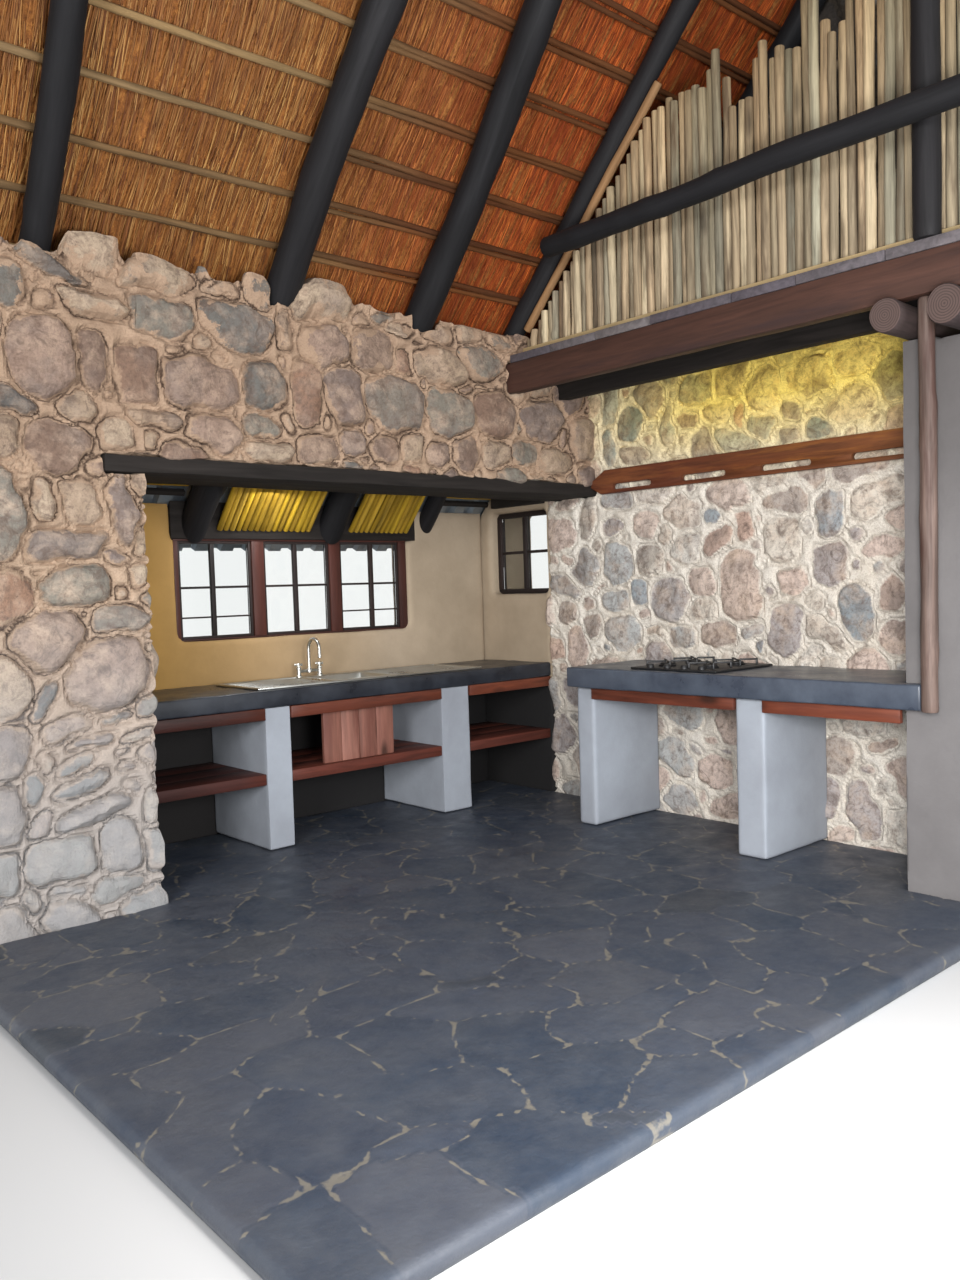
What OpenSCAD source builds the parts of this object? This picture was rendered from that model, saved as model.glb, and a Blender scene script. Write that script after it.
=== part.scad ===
// Kitchen bay of a thatched stone hut: a rubble wall with a wide opening, the
// kitchen nook behind it, the hob wall with its counter, the loft front and one
// slope of the pole-and-thatch roof, from the eaves to the ridge.
// x runs along the stone wall, y goes out through the kitchen window and z is
// up, in millimetres. Sizes are set from the corner where the stone wall's room
// face meets the hob wall, at floor level.

/* [Walls] */
// Thickness of the rubble stone walls
wall_t = 430; // [380:10:480]
// Height of the stone wall's room edge above the floor
wall_h = 2950; // [2920:5:2990]
// Width of the opening into the kitchen nook
opening_w = 3030; // [2950:10:3100]
// Height of the opening under the lintel
opening_h = 1993; // [1960:1:2020]
// Width of the stone pier left of the opening
left_pier_w = 970; // [900:10:1040]
// Length of the hob wall from the corner into the room
bay_depth = 2850; // [2850:10:2950]
// Height of the stone hob wall, up to the loft boards
hob_wall_h = 2766; // [2740:1:2780]
// Width of the plaster pier at the end of the hob wall
plaster_pier_w = 497; // [480:1:520]
// Depth of the plaster pier in front of the hob wall
plaster_pier_depth = 580; // [560:5:590]
// Thickness of the slate floor
floor_t = 60; // [40:5:80]

/* [Kitchen nook] */
// Depth of the nook behind the stone wall
kitchen_depth = 676; // [650:1:700]
// Thickness of the plastered back wall
back_wall_t = 200; // [180:5:230]
// Thickness of the plastered side wall
side_wall_t = 250; // [220:5:280]
// Width of the three-light window
window_w = 1698; // [1650:1:1740]
// Height of the three-light window
window_h = 604; // [580:1:620]
// Distance of the three-light window from the hob end
window_from_corner = 697; // [660:1:740]
// Width of the small window in the end wall
small_window_w = 560; // [520:5:580]
// Height of the small window
small_window_h = 580; // [540:5:600]
// Height of the small window's sill above the floor
small_sill_h = 1370; // [1350:5:1385]
// Reveal between the nook's corner and the small window
small_window_gap = 86; // [80:2:110]

/* [Timber] */
// Thickness of the lintel plank
lintel_t = 75; // [60:5:90]
// Bearing of the lintel on the stone pier
lintel_bearing = 190; // [150:5:220]
// Depth of the lintel's pocket in the hob wall
lintel_pocket = 100; // [80:5:130]
// Thickness of the wall plate over the kitchen window
plate_t = 100; // [80:5:120]

/* [Roof] */
// Pitch of the roof slope in degrees
pitch = 46; // [45.5:0.1:46.5]
// Horizontal run from the stone wall's room face to the ridge
ridge_run = 2535; // [2500:5:2560]
// Height of the rafter tops' reference line above the wall's room edge
rafter_lift = 70; // [60:1:80]
// Depth of a rafter's upper side above the reference line
rafter_top = 75; // [73:1:80]
// Diameter of every rafter at the ridge
rafter_tip_d = 140; // [130:2:146]
// Diameter of the first rafter at its foot
rafter_1_d = 134; // [124:2:144]
// Diameter of the second rafter at its foot
rafter_2_d = 172; // [160:2:180]
// Diameter of the third rafter at its foot
rafter_3_d = 176; // [160:2:180]
// Diameter of the fourth rafter at its foot
rafter_4_d = 120; // [110:2:126]
// Diameter of the fifth rafter at its foot
rafter_5_d = 140; // [130:2:146]
// Diameter of the laths
lath_d = 34; // [28:1:38]
// Horizontal run between two laths
lath_run = 183; // [175:1:195]
// Thickness of the thatch
thatch_t = 210; // [180:5:240]
// Overhang of the thatch beyond the stone wall's back
thatch_eave = 170; // [140:5:200]
// Overhang of the roof at both ends
verge = 100; // [80:5:120]
// Thickness of the mortar ridge cap
cap_t = 40; // [30:2:50]
// Diameter of the ridge pole
ridge_d = 150; // [140:2:160]
// Diameter of the ceiling poles over the nook
ceiling_pole_d = 36; // [30:1:38]
// Spacing of the ceiling poles
ceiling_pitch = 41; // [40:1:46]
// Spacing of the ribs in the roof sheets
rib_pitch = 171.5; // [165:0.5:180]
// Height of the ribs in the roof sheets
rib_h = 29; // [24:1:30]
// Reach of the roof sheets beyond the back wall's inner face
sheet_reach = 294; // [270:2:320]
// Depth of the wall plate under the rafters' reference line
plate_drop = 114; // [108:1:124]

/* [Loft front] */
// Thickness of the loft beam
beam_t = 75; // [60:5:90]
// Depth of the loft beam and of the joist
beam_h = 178; // [160:1:190]
// Distance of the loft beam's face from the hob wall
beam_reach = 721; // [700:1:740]
// Distance of the inner joist's face from the hob wall
joist_reach = 300; // [260:5:340]
// Bearing of the loft beam and the joist in the stone wall
beam_bearing = 120; // [100:5:150]
// Thickness of the loft boards
board_t = 48; // [40:1:55]
// Thickness of the gable that closes the loft over the hob wall
gable_t = 130; // [110:5:135]
// Diameter of the poles in the loft screen
screen_pole_d = 40; // [34:1:41]
// Spacing of the poles in the loft screen
screen_pitch = 44.5; // [43:0.5:48]
// Mean height of the free pole tops above the floor
screen_top = 3900; // [3850:10:3950]
// Diameter of the loft handrail
rail_d = 120; // [100:2:130]
// Height of the loft handrail above the floor
rail_z = 3315; // [3280:5:3350]
// Diameter of the loft post
post_d = 115; // [100:1:120]
// Diameter of the first bearer log
log_1_d = 144; // [136:2:144]
// Diameter of the second bearer log
log_2_d = 160; // [150:2:166]
// Diameter of the pole beside the hob counter
corner_pole_d = 74; // [66:1:74]

/* [Counters] */
// Height of the sink counter
sink_top_h = 893; // [880:1:905]
// Thickness of the sink counter's slab
sink_slab_t = 98; // [85:1:110]
// Height of the hob counter
hob_top_h = 936; // [920:1:950]
// Thickness of the hob counter's slab
hob_slab_t = 118; // [100:1:125]
// Depth of the hob counter
hob_slab_depth = 660; // [650:1:670]
// Height of the timber aprons under the slabs
apron_h = 66; // [50:2:76]
// Thickness of the aprons and of the cupboard planks
apron_t = 32; // [26:1:38]
// Height of the shelf tops under the sink counter
shelf_h = 430; // [400:5:450]
// Thickness of the shelves
shelf_t = 62; // [50:2:70]
// Rise of the utensil rail above the lintel's underside
utensil_rise = 3; // [0:1:20]
// Width of the utensil rail's plank
utensil_h = 151; // [140:1:160]

/* [Hidden] */
$fn = 48;

// Joint left between neighbouring pieces
gap = 0.3;

// Lines in plan
x_jamb = -opening_w;
x_left = x_jamb - left_pier_w;
x_right = wall_t;
x_side = x_jamb - side_wall_t;
y_back = wall_t + kitchen_depth;
y_out = y_back + back_wall_t;
y_drip = y_back + sheet_reach;
y_front = -bay_depth;
y_pier = y_front + plaster_pier_w;

// Roof plane: the reference line of the rafters at the room face
roof_z0 = wall_h + rafter_lift;
function roof_z(y) = roof_z0 - tan(pitch) * y;
// Down-slope place of a point at depth y that lies h above the plane
function slope_y(y, h) = (y - h * sin(pitch)) / cos(pitch);
// Section point at depth y on the line that lies h above the plane
function on_slope(y, h) = [y, roof_z(y) + h / cos(pitch)];

wall_top_drop = -rafter_lift * cos(pitch);
lath_axis = rafter_top + lath_d / 2;
thatch_under = rafter_top + lath_d;
thatch_over = thatch_under + thatch_t;
ceiling_axis = wall_top_drop + gap + ceiling_pole_d / 2;

// Window head: just under the wall plate
head_z = roof_z(y_back) - plate_drop;
sill_z = head_z - window_h;
window_right = -window_from_corner;
window_left = window_right - window_w;
small_far = y_back - small_window_gap;
small_near = small_far - small_window_w;

// Wall plate over the window, let into the back wall
plate_left = window_left - 20;
plate_right = window_right + 70;

// Rafters: place of each axis at the wall plate, at the wall and at the ridge
rafter_plate_x = [x_jamb - 390, -2262, -1310, -525, wall_t / 2];
rafter_wall_x = [x_jamb - 422, -2246, -1362, -612, wall_t / 2];
rafter_ridge_x = [x_jamb - 670, -2300, -1590, -620, wall_t / 2];
rafter_foot_d = [rafter_1_d, rafter_2_d, rafter_3_d, rafter_4_d, rafter_5_d];
rafter_sway = [9, -14, 16, 5, -8];
thatch_tail_y = wall_t + thatch_eave - 50;
rafter_end_y = [thatch_tail_y, y_back - gap, y_back - gap, y_back - gap, wall_t - gap];
butt_run = 1000;
y_ridge = -ridge_run;

function rafter_x(i, y) =
    let (t = y > 0 ? y / y_back : y / y_ridge)
    y > 0
        ? rafter_wall_x[i] + t * (rafter_plate_x[i] - rafter_wall_x[i])
        : rafter_wall_x[i] + t * (rafter_ridge_x[i] - rafter_wall_x[i])
            + rafter_sway[i] * sin(540 * t);
function rafter_r(i, y) =
    let (t = min(1, max(0, (y + butt_run) / (y_ridge + butt_run))))
    (rafter_foot_d[i] * (1 - t) + rafter_tip_d * t) / 2;

// Loft front
beam_z = hob_wall_h - beam_h;
board_z = hob_wall_h;
sole_z = board_z + board_t;
sole_h = 28;
screen_x = -600;
post_x = -700;
post_y = -2535;
rail_x = post_x - post_d / 2 - gap - rail_d / 2;
rail_end_y = -430;
// Rise of the free pole tops over their mean height, against the distance from the wall
screen_rise = [[1350, 20], [1440, 190], [1480, -130], [1620, -150], [1650, 60], [1690, 90], [1740, -20],
    [1800, 60], [1860, -50], [1900, 230], [1990, 230], [2010, -80], [2110, 20], [2150, 170],
    [2230, 160], [2290, 0], [2330, 160], [2370, -40], [2410, 150], [2850, 200]];
edge_pole_d = 50;
edge_pole_axis = rafter_top - rafter_4_d - gap - edge_pole_d / 2;
edge_pole_end = -1080;
ridge_axis_z = roof_z(y_ridge) + (rafter_top - rafter_tip_d - ridge_d / 2 - gap) / cos(pitch);

// Bearer logs and the pole between them
log_reach = 800;
log_2_y = -2648;
corner_pole_y = log_2_y + log_2_d / 2 + 26 + corner_pole_d / 2;
log_1_y = corner_pole_y + corner_pole_d / 2 + gap + log_1_d / 2;
corner_pole_x = -650;

// Counters
counter_front = wall_t + 5;
sink_under = sink_top_h - sink_slab_t;
pier_1 = [x_jamb + 808, x_jamb + 970];
pier_2 = [-975, -738];
sink_box = [-2240, 478, -600, 978];
bowl_box = [-1690, 530, -1270, 900];
bowl_depth = 160;
hob_under = hob_top_h - hob_slab_t;
hob_slab_left = -340;
hob_slab_right = corner_pole_y + corner_pole_d / 2 + gap;
hob_piers_y = [[-363, -499], [-1472, -1643]];
hob_box = [-600, -1360, -70, -785];

// Origin: middle of the bounding box, on the ground
x_lo = x_left - verge;
x_hi = x_right + verge;

module part() {
    translate([-(x_lo + x_hi) / 2, -(y_front + y_drip) / 2, floor_t]) children();
}

// A block between two corners
module block(lo, hi) {
    translate(lo) cube(hi - lo);
}

// Section drawn in y and z, drawn out along x
module profile_x(x0, x1) {
    translate([x0, 0, 0]) rotate([90, 0, 90]) linear_extrude(x1 - x0) children();
}

// Slope frame: y runs down the roof and z stands square to it
module on_roof() {
    translate([0, 0, roof_z0]) rotate([-pitch, 0, 0]) children();
}

// Solid through rings of points, closed by its two end faces
module ring_solid(rings) {
    n = len(rings[0]);
    last = len(rings) - 1;
    points = [for (ring = rings) each ring];
    sides = [for (k = [0 : last - 1], i = [0 : n - 1])
        let (a = k * n + i, b = k * n + (i + 1) % n)
        each [[a, b, a + n], [b, b + n, a + n]]];
    first_cap = [for (i = [n - 1 : -1 : 0]) i];
    last_cap = [for (i = [0 : n - 1]) last * n + i];
    polyhedron(points, concat(sides, [first_cap], [last_cap]));
}

// Trench for a rafter through the top of a wall
module rafter_trench(i, y0, y1) {
    r = rafter_r(i, 0);
    x_a = rafter_x(i, y0);
    x_b = rafter_x(i, y1);
    side = r + 3;
    on_roof()
        translate([0, 0, rafter_top - 2 * r - gap])
            linear_extrude(wall_t)
                polygon([[x_a - side, slope_y(y0 - wall_t, 0)], [x_a + side, slope_y(y0 - wall_t, 0)],
                    [x_b + side, slope_y(y1 + wall_t, 0)], [x_b - side, slope_y(y1 + wall_t, 0)]]);
}

// Section of the stone wall from a height up to the raked top
module stone_section(z0) {
    polygon([[0, z0], [wall_t, z0], on_slope(wall_t, wall_top_drop),
        on_slope(0, wall_top_drop)]);
}

module slate_floor() {
    color("darkslategray")
    difference() {
        union() {
            block([x_left, y_front, -floor_t], [-gap, -gap, 0]);
            block([x_jamb + gap, -gap, -floor_t], [-gap, y_back - gap, 0]);
        }
        block([-plaster_pier_depth - gap, y_front - gap, -floor_t - gap],
            [gap, y_pier + gap, gap]);
    }
}

module stone_pier_left() {
    color("rosybrown")
    difference() {
        profile_x(x_left, x_jamb) stone_section(-floor_t);
        block([x_jamb - lintel_bearing - gap, -gap, opening_h],
            [x_jamb + gap, wall_t + gap, opening_h + lintel_t + gap]);
        rafter_trench(0, 0, wall_t);
    }
}

module stone_wall_over_opening() {
    color("rosybrown")
    difference() {
        profile_x(x_jamb, -gap) stone_section(opening_h + lintel_t + gap);
        for (i = [1 : 3]) rafter_trench(i, 0, wall_t);
        block([-beam_reach - gap, -gap, beam_z],
            [-beam_reach + beam_t + gap, beam_bearing + gap, hob_wall_h + gap]);
        block([-joist_reach - gap, -gap, beam_z],
            [-joist_reach + beam_t + gap, beam_bearing + gap, hob_wall_h + gap]);
    }
}

module hob_wall() {
    color("tan")
    difference() {
        union() {
            block([0, y_front, -floor_t], [wall_t, 0, hob_wall_h - gap]);
            profile_x(0, wall_t) stone_section(-floor_t);
        }
        block([-gap, -gap, opening_h],
            [lintel_pocket + gap, wall_t - gap, opening_h + lintel_t + gap]);
        rafter_trench(4, 0, wall_t);
    }
}

// Plastered wall across the slope, raked to carry the roof sheets
module raked_wall(x0, x1) {
    profile_x(x0, x1)
        polygon([[wall_t + gap, -floor_t], [y_out, -floor_t],
            on_slope(y_out, rafter_top - gap), on_slope(wall_t + gap, rafter_top - gap)]);
}

module kitchen_end_wall() {
    color("wheat")
    difference() {
        raked_wall(0, wall_t);
        block([-gap, small_near, small_sill_h],
            [wall_t + gap, small_far, small_sill_h + small_window_h]);
    }
}

module kitchen_back_wall() {
    color("wheat")
    difference() {
        profile_x(x_jamb + gap, -gap)
            polygon([[y_back, -floor_t], [y_out, -floor_t], on_slope(y_out, rafter_top - gap),
                on_slope(y_back, rafter_top - gap)]);
        block([window_left, y_back - gap, sill_z],
            [window_right, y_out + gap, head_z + gap]);
        block([plate_left - gap, y_back - gap, head_z],
            [plate_right + gap, y_back + plate_t + gap, roof_z(y_back) + wall_t]);
    }
}

module kitchen_side_wall() {
    color("wheat") raked_wall(x_side, x_jamb);
}

// Pier with its top stepped to both bearer logs
module plaster_pier() {
    step_y = corner_pole_y;
    color("gainsboro")
    profile_x(-plaster_pier_depth, -gap)
        polygon([[y_front, -floor_t], [y_pier, -floor_t], [y_pier, beam_z - 2 * gap - log_1_d],
            [step_y, beam_z - 2 * gap - log_1_d], [step_y, beam_z - 2 * gap - log_2_d],
            [y_front, beam_z - 2 * gap - log_2_d]]);
}

module opening_lintel() {
    color("dimgray")
    block([x_jamb - lintel_bearing, 0, opening_h],
        [lintel_pocket, wall_t - 2 * gap, opening_h + lintel_t]);
}

module wall_plate() {
    color("dimgray")
    profile_x(plate_left, plate_right)
        polygon([[y_back, head_z + gap], [y_back + plate_t, head_z + gap],
            on_slope(y_back + plate_t, rafter_top - gap),
            on_slope(y_back, rafter_top - gap)]);
}

// Crooked rafter with plumb-cut ends, every top on the same slope
module rafter(i) {
    rings = 9;
    facets = 12;
    color("darkslategray")
    translate([0, 0, roof_z0]) ring_solid([for (k = [0 : rings])
        let (y = rafter_end_y[i] + (y_ridge - rafter_end_y[i]) * k / rings,
             r = rafter_r(i, y),
             x = rafter_x(i, y),
             h = rafter_top - r)
        [for (a = [0 : facets - 1])
            let (turn = 360 * (a + 0.5) / facets,
                 corner = r / cos(180 / facets),
                 rise = h + corner * sin(turn))
            [x - corner * cos(turn), y, rise / cos(pitch) - tan(pitch) * y]]]);
}
module rafter_1() rafter(0);
module rafter_2() rafter(1);
module rafter_3() rafter(2);
module rafter_4() rafter(3);
module rafter_5() rafter(4);

module roof_laths() {
    first = floor(thatch_tail_y / lath_run) - 1;
    last = floor(ridge_run / lath_run) - 1;
    color("tan")
    on_roof()
        for (k = [-first : last])
            translate([x_lo + 40, slope_y(-k * lath_run, lath_axis), lath_axis])
                rotate([0, 90, 0]) cylinder(d = lath_d, h = x_hi - x_lo - 80, $fn = 24);
}

// Place of a section point mirrored over the ridge line
function over_ridge(p) = [2 * y_ridge - p[0], p[1]];

module thatch() {
    eave_y = wall_t + thatch_eave;
    far_y = y_ridge + (y_ridge - (y_front + 50));
    butt = slope_y(eave_y, thatch_under);
    round_r = 60;
    top_end = [for (a = [0 : 15 : 90])
        let (s = butt - round_r + round_r * cos(a),
             h = thatch_over - round_r + round_r * sin(a))
        [s * cos(pitch) + h * sin(pitch), roof_z0 - s * sin(pitch) + h * cos(pitch)]];
    near_top = on_slope(far_y, thatch_over);
    near_under = on_slope(far_y, thatch_under + gap);
    color("peru")
    profile_x(x_lo, x_hi)
        polygon(concat([on_slope(eave_y, thatch_under + gap)], top_end,
            [on_slope(y_ridge, thatch_over), over_ridge(near_top),
                over_ridge(near_under), on_slope(y_ridge, thatch_under + gap)]));
}

module ridge_cap() {
    far_y = y_ridge + (y_ridge - (y_front + 50));
    crown = 45;
    outer = thatch_over + gap + cap_t;
    color("lightgray")
    profile_x(x_lo, x_hi)
        polygon([on_slope(far_y, thatch_over + gap), on_slope(far_y, outer),
            on_slope(y_ridge + crown, outer), over_ridge(on_slope(y_ridge + crown, outer)),
            over_ridge(on_slope(far_y, outer)),
            over_ridge(on_slope(far_y, thatch_over + gap)),
            on_slope(y_ridge, thatch_over + gap)]);
}

module ridge_pole() {
    color("darkslategray")
    translate([x_lo + 40, y_ridge, ridge_axis_z])
        rotate([0, 90, 0]) cylinder(d = ridge_d, h = x_hi - x_lo - 80);
}

// A ceiling pole fits between the outer rafters over the nook, where it clears the middle one
function clears_rafters(x) =
    x > rafter_wall_x[1] && x < rafter_plate_x[3]
    && len([for (i = [1 : 3])
        if (x > min(rafter_plate_x[i], rafter_wall_x[i]) - rafter_foot_d[i] / 2 - ceiling_pole_d / 2 - 2
            && x < max(rafter_plate_x[i], rafter_wall_x[i]) + rafter_foot_d[i] / 2 + ceiling_pole_d / 2 + 2)
        i]) == 0;

module kitchen_ceiling() {
    count = floor((opening_w - ceiling_pole_d - 4) / ceiling_pitch);
    upper = slope_y(wall_t - 90, ceiling_axis);
    lower = slope_y(y_back - gap, ceiling_axis + ceiling_pole_d / 2);
    color("goldenrod")
    on_roof()
        for (k = [0 : count])
            let (x = x_jamb + ceiling_pole_d / 2 + 2 + k * ceiling_pitch)
            if (clears_rafters(x))
                translate([x, upper, ceiling_axis])
                    rotate([-90, 0, 0]) cylinder(d = ceiling_pole_d, h = lower - upper, $fn = 24);
}

// Clear widths over the nook outside its outer rafters
nook_ends = [[x_jamb + gap, rafter_plate_x[1] - rafter_foot_d[1] / 2 - 2],
    [rafter_plate_x[3] + rafter_foot_d[3] / 2 + 2, -gap]];

module nook_end_poles() {
    end_pole_d = 46;
    axis = rafter_top - gap - end_pole_d / 2;
    color("goldenrod")
    on_roof()
        for (b = nook_ends)
            translate([b[0], slope_y(y_back - 121, axis), axis])
                rotate([0, 90, 0]) cylinder(d = end_pole_d, h = b[1] - b[0], $fn = 24);
}

module nook_battens() {
    upper = slope_y(y_back - 61, rafter_top);
    color("dimgray")
    on_roof()
        for (b = nook_ends)
            block([b[0], upper, rafter_top - gap - 32], [b[1], upper + 30, rafter_top - gap]);
}

module kitchen_roof_sheets() {
    sheet_t = 3;
    x0 = x_side - 60;
    x1 = x_right + 60;
    ribs = floor((x1 - x0) / rib_pitch);
    flat = rib_pitch * 0.5;
    slant = rib_pitch * 0.1;
    top = rib_pitch - flat - 2 * slant;
    line = [for (k = [0 : ribs - 1])
        let (x = x0 + k * rib_pitch)
        each [[x, 0], [x + flat, 0], [x + flat + slant, rib_h],
            [x + flat + slant + top, rib_h]]];
    over = [for (i = [len(line) - 1 : -1 : 0]) line[i] + [0, sheet_t]];
    highest = rafter_top + rib_h + sheet_t;
    upper = slope_y(wall_t + 10, rafter_top);
    lower = slope_y(y_drip, highest);
    color("lightsteelblue")
    on_roof()
        translate([0, lower, rafter_top])
            rotate([90, 0, 0]) linear_extrude(lower - upper) polygon(concat(line, over));
}

module loft_front_beam() {
    color("saddlebrown")
    block([-beam_reach, y_front, beam_z], [-beam_reach + beam_t, beam_bearing, hob_wall_h - gap]);
}

module loft_joist() {
    color("dimgray")
    block([-joist_reach, y_pier - 60, beam_z], [-joist_reach + beam_t, beam_bearing, hob_wall_h - gap]);
}

module loft_floor_boards() {
    color("slategray")
    block([-beam_reach - 8, y_front, board_z], [x_right - gable_t - gap, -gap, board_z + board_t]);
}

// Thin gable on the hob wall's outer edge, with a hole for the ridge pole
module loft_gable() {
    color("tan")
    difference() {
        profile_x(x_right - gable_t, x_right)
            polygon([[y_front, board_z], [-gap, board_z], on_slope(-gap, rafter_top - gap),
                on_slope(y_ridge, rafter_top - gap),
                over_ridge(on_slope(2 * y_ridge - y_front, rafter_top - gap))]);
        translate([x_right - gable_t - gap, y_ridge, ridge_axis_z])
            rotate([0, 90, 0]) cylinder(d = ridge_d + 2 * gap, h = gable_t + 2 * gap);
    }
}

module loft_sole_strip() {
    color("burlywood")
    block([screen_x - 34, y_front, sole_z], [screen_x + 26, -30, sole_z + sole_h]);
}

// Height of the k-th screen pole's top: under the edge pole near the wall,
// and sawn off at free heights beyond it
function screen_height(k, y, noise) =
    min(on_slope(y, edge_pole_axis - edge_pole_d / 2)[1] - 14,
        screen_top + lookup(-y, screen_rise) + noise[k]);

module loft_screen_poles() {
    count = floor((bay_depth - 80) / screen_pitch);
    noise = rands(-25, 25, count + 1, 11);
    color("darkseagreen")
    for (k = [0 : count])
        let (y = -62 - k * screen_pitch,
             foot = sole_z + sole_h,
             top = screen_height(k, y + screen_pole_d / 2, noise))
        if (top - foot > 30 && y > y_front + screen_pole_d / 2)
            translate([screen_x, y, foot]) cylinder(d = screen_pole_d, h = top - foot, $fn = 24);
}

module screen_edge_pole() {
    color("tan")
    on_roof()
        translate([screen_x - 8, slope_y(-45, edge_pole_axis), edge_pole_axis])
            rotate([90, 0, 0])
                cylinder(d = edge_pole_d, h = slope_y(-45, 0) - slope_y(edge_pole_end, 0), $fn = 24);
}

module loft_handrail() {
    color("darkslategray")
    translate([rail_x, y_front, rail_z])
        rotate([-90, 0, 0]) cylinder(d = rail_d, h = rail_end_y - y_front);
}

module loft_post() {
    color("darkslategray")
    translate([post_x, post_y, sole_z + gap])
        cylinder(d = post_d, h = ridge_axis_z - ridge_d / 2 - sole_z - gap);
}

module bearer_log(y, d) {
    translate([-log_reach, y, beam_z - gap - d / 2])
        rotate([0, 90, 0]) cylinder(d = d, h = log_reach - gap);
}
module bearer_log_1() color("dimgray") bearer_log(log_1_y, log_1_d);
module bearer_log_2() color("dimgray") bearer_log(log_2_y, log_2_d);

module corner_pole() {
    color("sienna")
    translate([corner_pole_x, corner_pole_y, hob_under])
        cylinder(d = corner_pole_d, h = beam_z - gap - hob_under);
}

// Plank with a row of round-ended slots along its lower edge, to hang tools from
module utensil_rail() {
    rail_t = 30;
    slot_w = 313;
    slot_h = 35;
    slot_pitch = 544;
    color("sienna")
    translate([-gap, 0, opening_h + utensil_rise])
        rotate([90, 0, -90]) linear_extrude(rail_t)
            difference() {
                polygon([[gap, 50], [gap, 78], [125, utensil_h], [-y_pier - gap, utensil_h],
                    [-y_pier - gap, 0], [90, 0]]);
                for (k = [0 : 3])
                    translate([187 + k * slot_pitch, 22]) {
                        translate([slot_h / 2, slot_h / 2]) circle(d = slot_h, $fn = 24);
                        translate([slot_w - slot_h / 2, slot_h / 2]) circle(d = slot_h, $fn = 24);
                        translate([slot_h / 2, 0]) square([slot_w - slot_h, slot_h]);
                    }
            }
}

// Lights of the kitchen window between the frame's posts
frame_w = 10;
left_post_w = 27;
right_post_w = 62;
mullion_w = 82;
light_w = (window_w - 2 * gap - left_post_w - right_post_w - 2 * mullion_w) / 3;
function light_x(k) = window_left + gap + left_post_w + k * (light_w + mullion_w);
frame_y = y_back + 22;
frame_d = 66;
sash_w = 16;

module window_frame() {
    z0 = sill_z + gap;
    z1 = head_z;
    color("maroon")
    difference() {
        block([window_left + gap, frame_y, z0], [window_right - gap, frame_y + frame_d, z1]);
        for (k = [0 : 2])
            block([light_x(k), frame_y - gap, z0 + frame_w],
                [light_x(k) + light_w, frame_y + frame_d + gap, z1 - frame_w]);
    }
}

// Open rectangle of timber in the x and z plane
module sash(x0, x1, y0, y1, z0, z1, w) {
    difference() {
        block([x0, y0, z0], [x1, y1, z1]);
        block([x0 + w, y0 - gap, z0 + w], [x1 - w, y1 + gap, z1 - w]);
    }
}

module window_lights() {
    color("black")
    for (k = [0 : 2])
        let (x = light_x(k))
        sash(x + gap, x + light_w - gap, frame_y + 10, frame_y + 46,
            sill_z + gap + frame_w + gap, head_z - frame_w - gap, sash_w);
}

module window_glass() {
    color("azure", 0.4)
    for (k = [0 : 2])
        let (x = light_x(k) + sash_w)
        block([x + 2 * gap, frame_y + 26, sill_z + frame_w + 3 * gap + sash_w],
            [x + light_w - 2 * sash_w - 2 * gap, frame_y + 30, head_z - frame_w - 2 * gap - sash_w]);
}

small_frame_x = 71;
small_frame_w = 34;
small_sill = small_sill_h + gap;
small_head = small_sill_h + small_window_h - gap;

module small_window_frame() {
    mid = (small_near + small_far) / 2;
    color("maroon")
    difference() {
        block([small_frame_x, small_near + gap, small_sill],
            [small_frame_x + 50, small_far - gap, small_head]);
        for (side = [[small_near + gap + small_frame_w, mid - 16], [mid + 16, small_far - gap - small_frame_w]])
            block([small_frame_x - gap, side[0], small_sill + small_frame_w],
                [small_frame_x + 51, side[1], small_head - small_frame_w]);
    }
}

module small_window_glass() {
    mid = (small_near + small_far) / 2;
    color("azure", 0.4)
    for (side = [[small_near + gap + small_frame_w, mid - 16], [mid + 16, small_far - gap - small_frame_w]])
        block([small_frame_x + 23, side[0], small_sill + small_frame_w],
            [small_frame_x + 27, side[1], small_head - small_frame_w]);
}

// Dark board on the end wall over the small window
module small_window_board() {
    board_y = [wall_t + 20, y_back - 151];
    board_under = small_sill_h + small_window_h + 35;
    color("dimgray")
    block([-45, board_y[0], board_under], [-gap, board_y[1], board_under + 90]);
}

module sink_counter_slab() {
    color("darkslategray")
    difference() {
        block([x_jamb + gap, counter_front, sink_under], [-gap, y_back - gap, sink_top_h]);
        block([bowl_box[0] - 4, bowl_box[1] - 4, sink_under - gap],
            [bowl_box[2] + 4, bowl_box[3] + 4, sink_top_h + gap]);
    }
}

module sink() {
    steel = 3;
    color("silver")
    difference() {
        union() {
            block([sink_box[0], sink_box[1], sink_top_h], [sink_box[2], sink_box[3], sink_top_h + 12]);
            block([bowl_box[0], bowl_box[1], sink_top_h - bowl_depth],
                [bowl_box[2], bowl_box[3], sink_top_h + gap]);
        }
        block([bowl_box[0] + steel, bowl_box[1] + steel, sink_top_h - bowl_depth + steel],
            [bowl_box[2] - steel, bowl_box[3] - steel, sink_top_h + 20]);
        for (side = [[sink_box[0] + 25, bowl_box[0] - 25], [bowl_box[2] + 25, sink_box[2] - 25]])
            block([side[0], sink_box[1] + 25, sink_top_h + 4], [side[1], sink_box[3] - 25, sink_top_h + 20]);
    }
}

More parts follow.
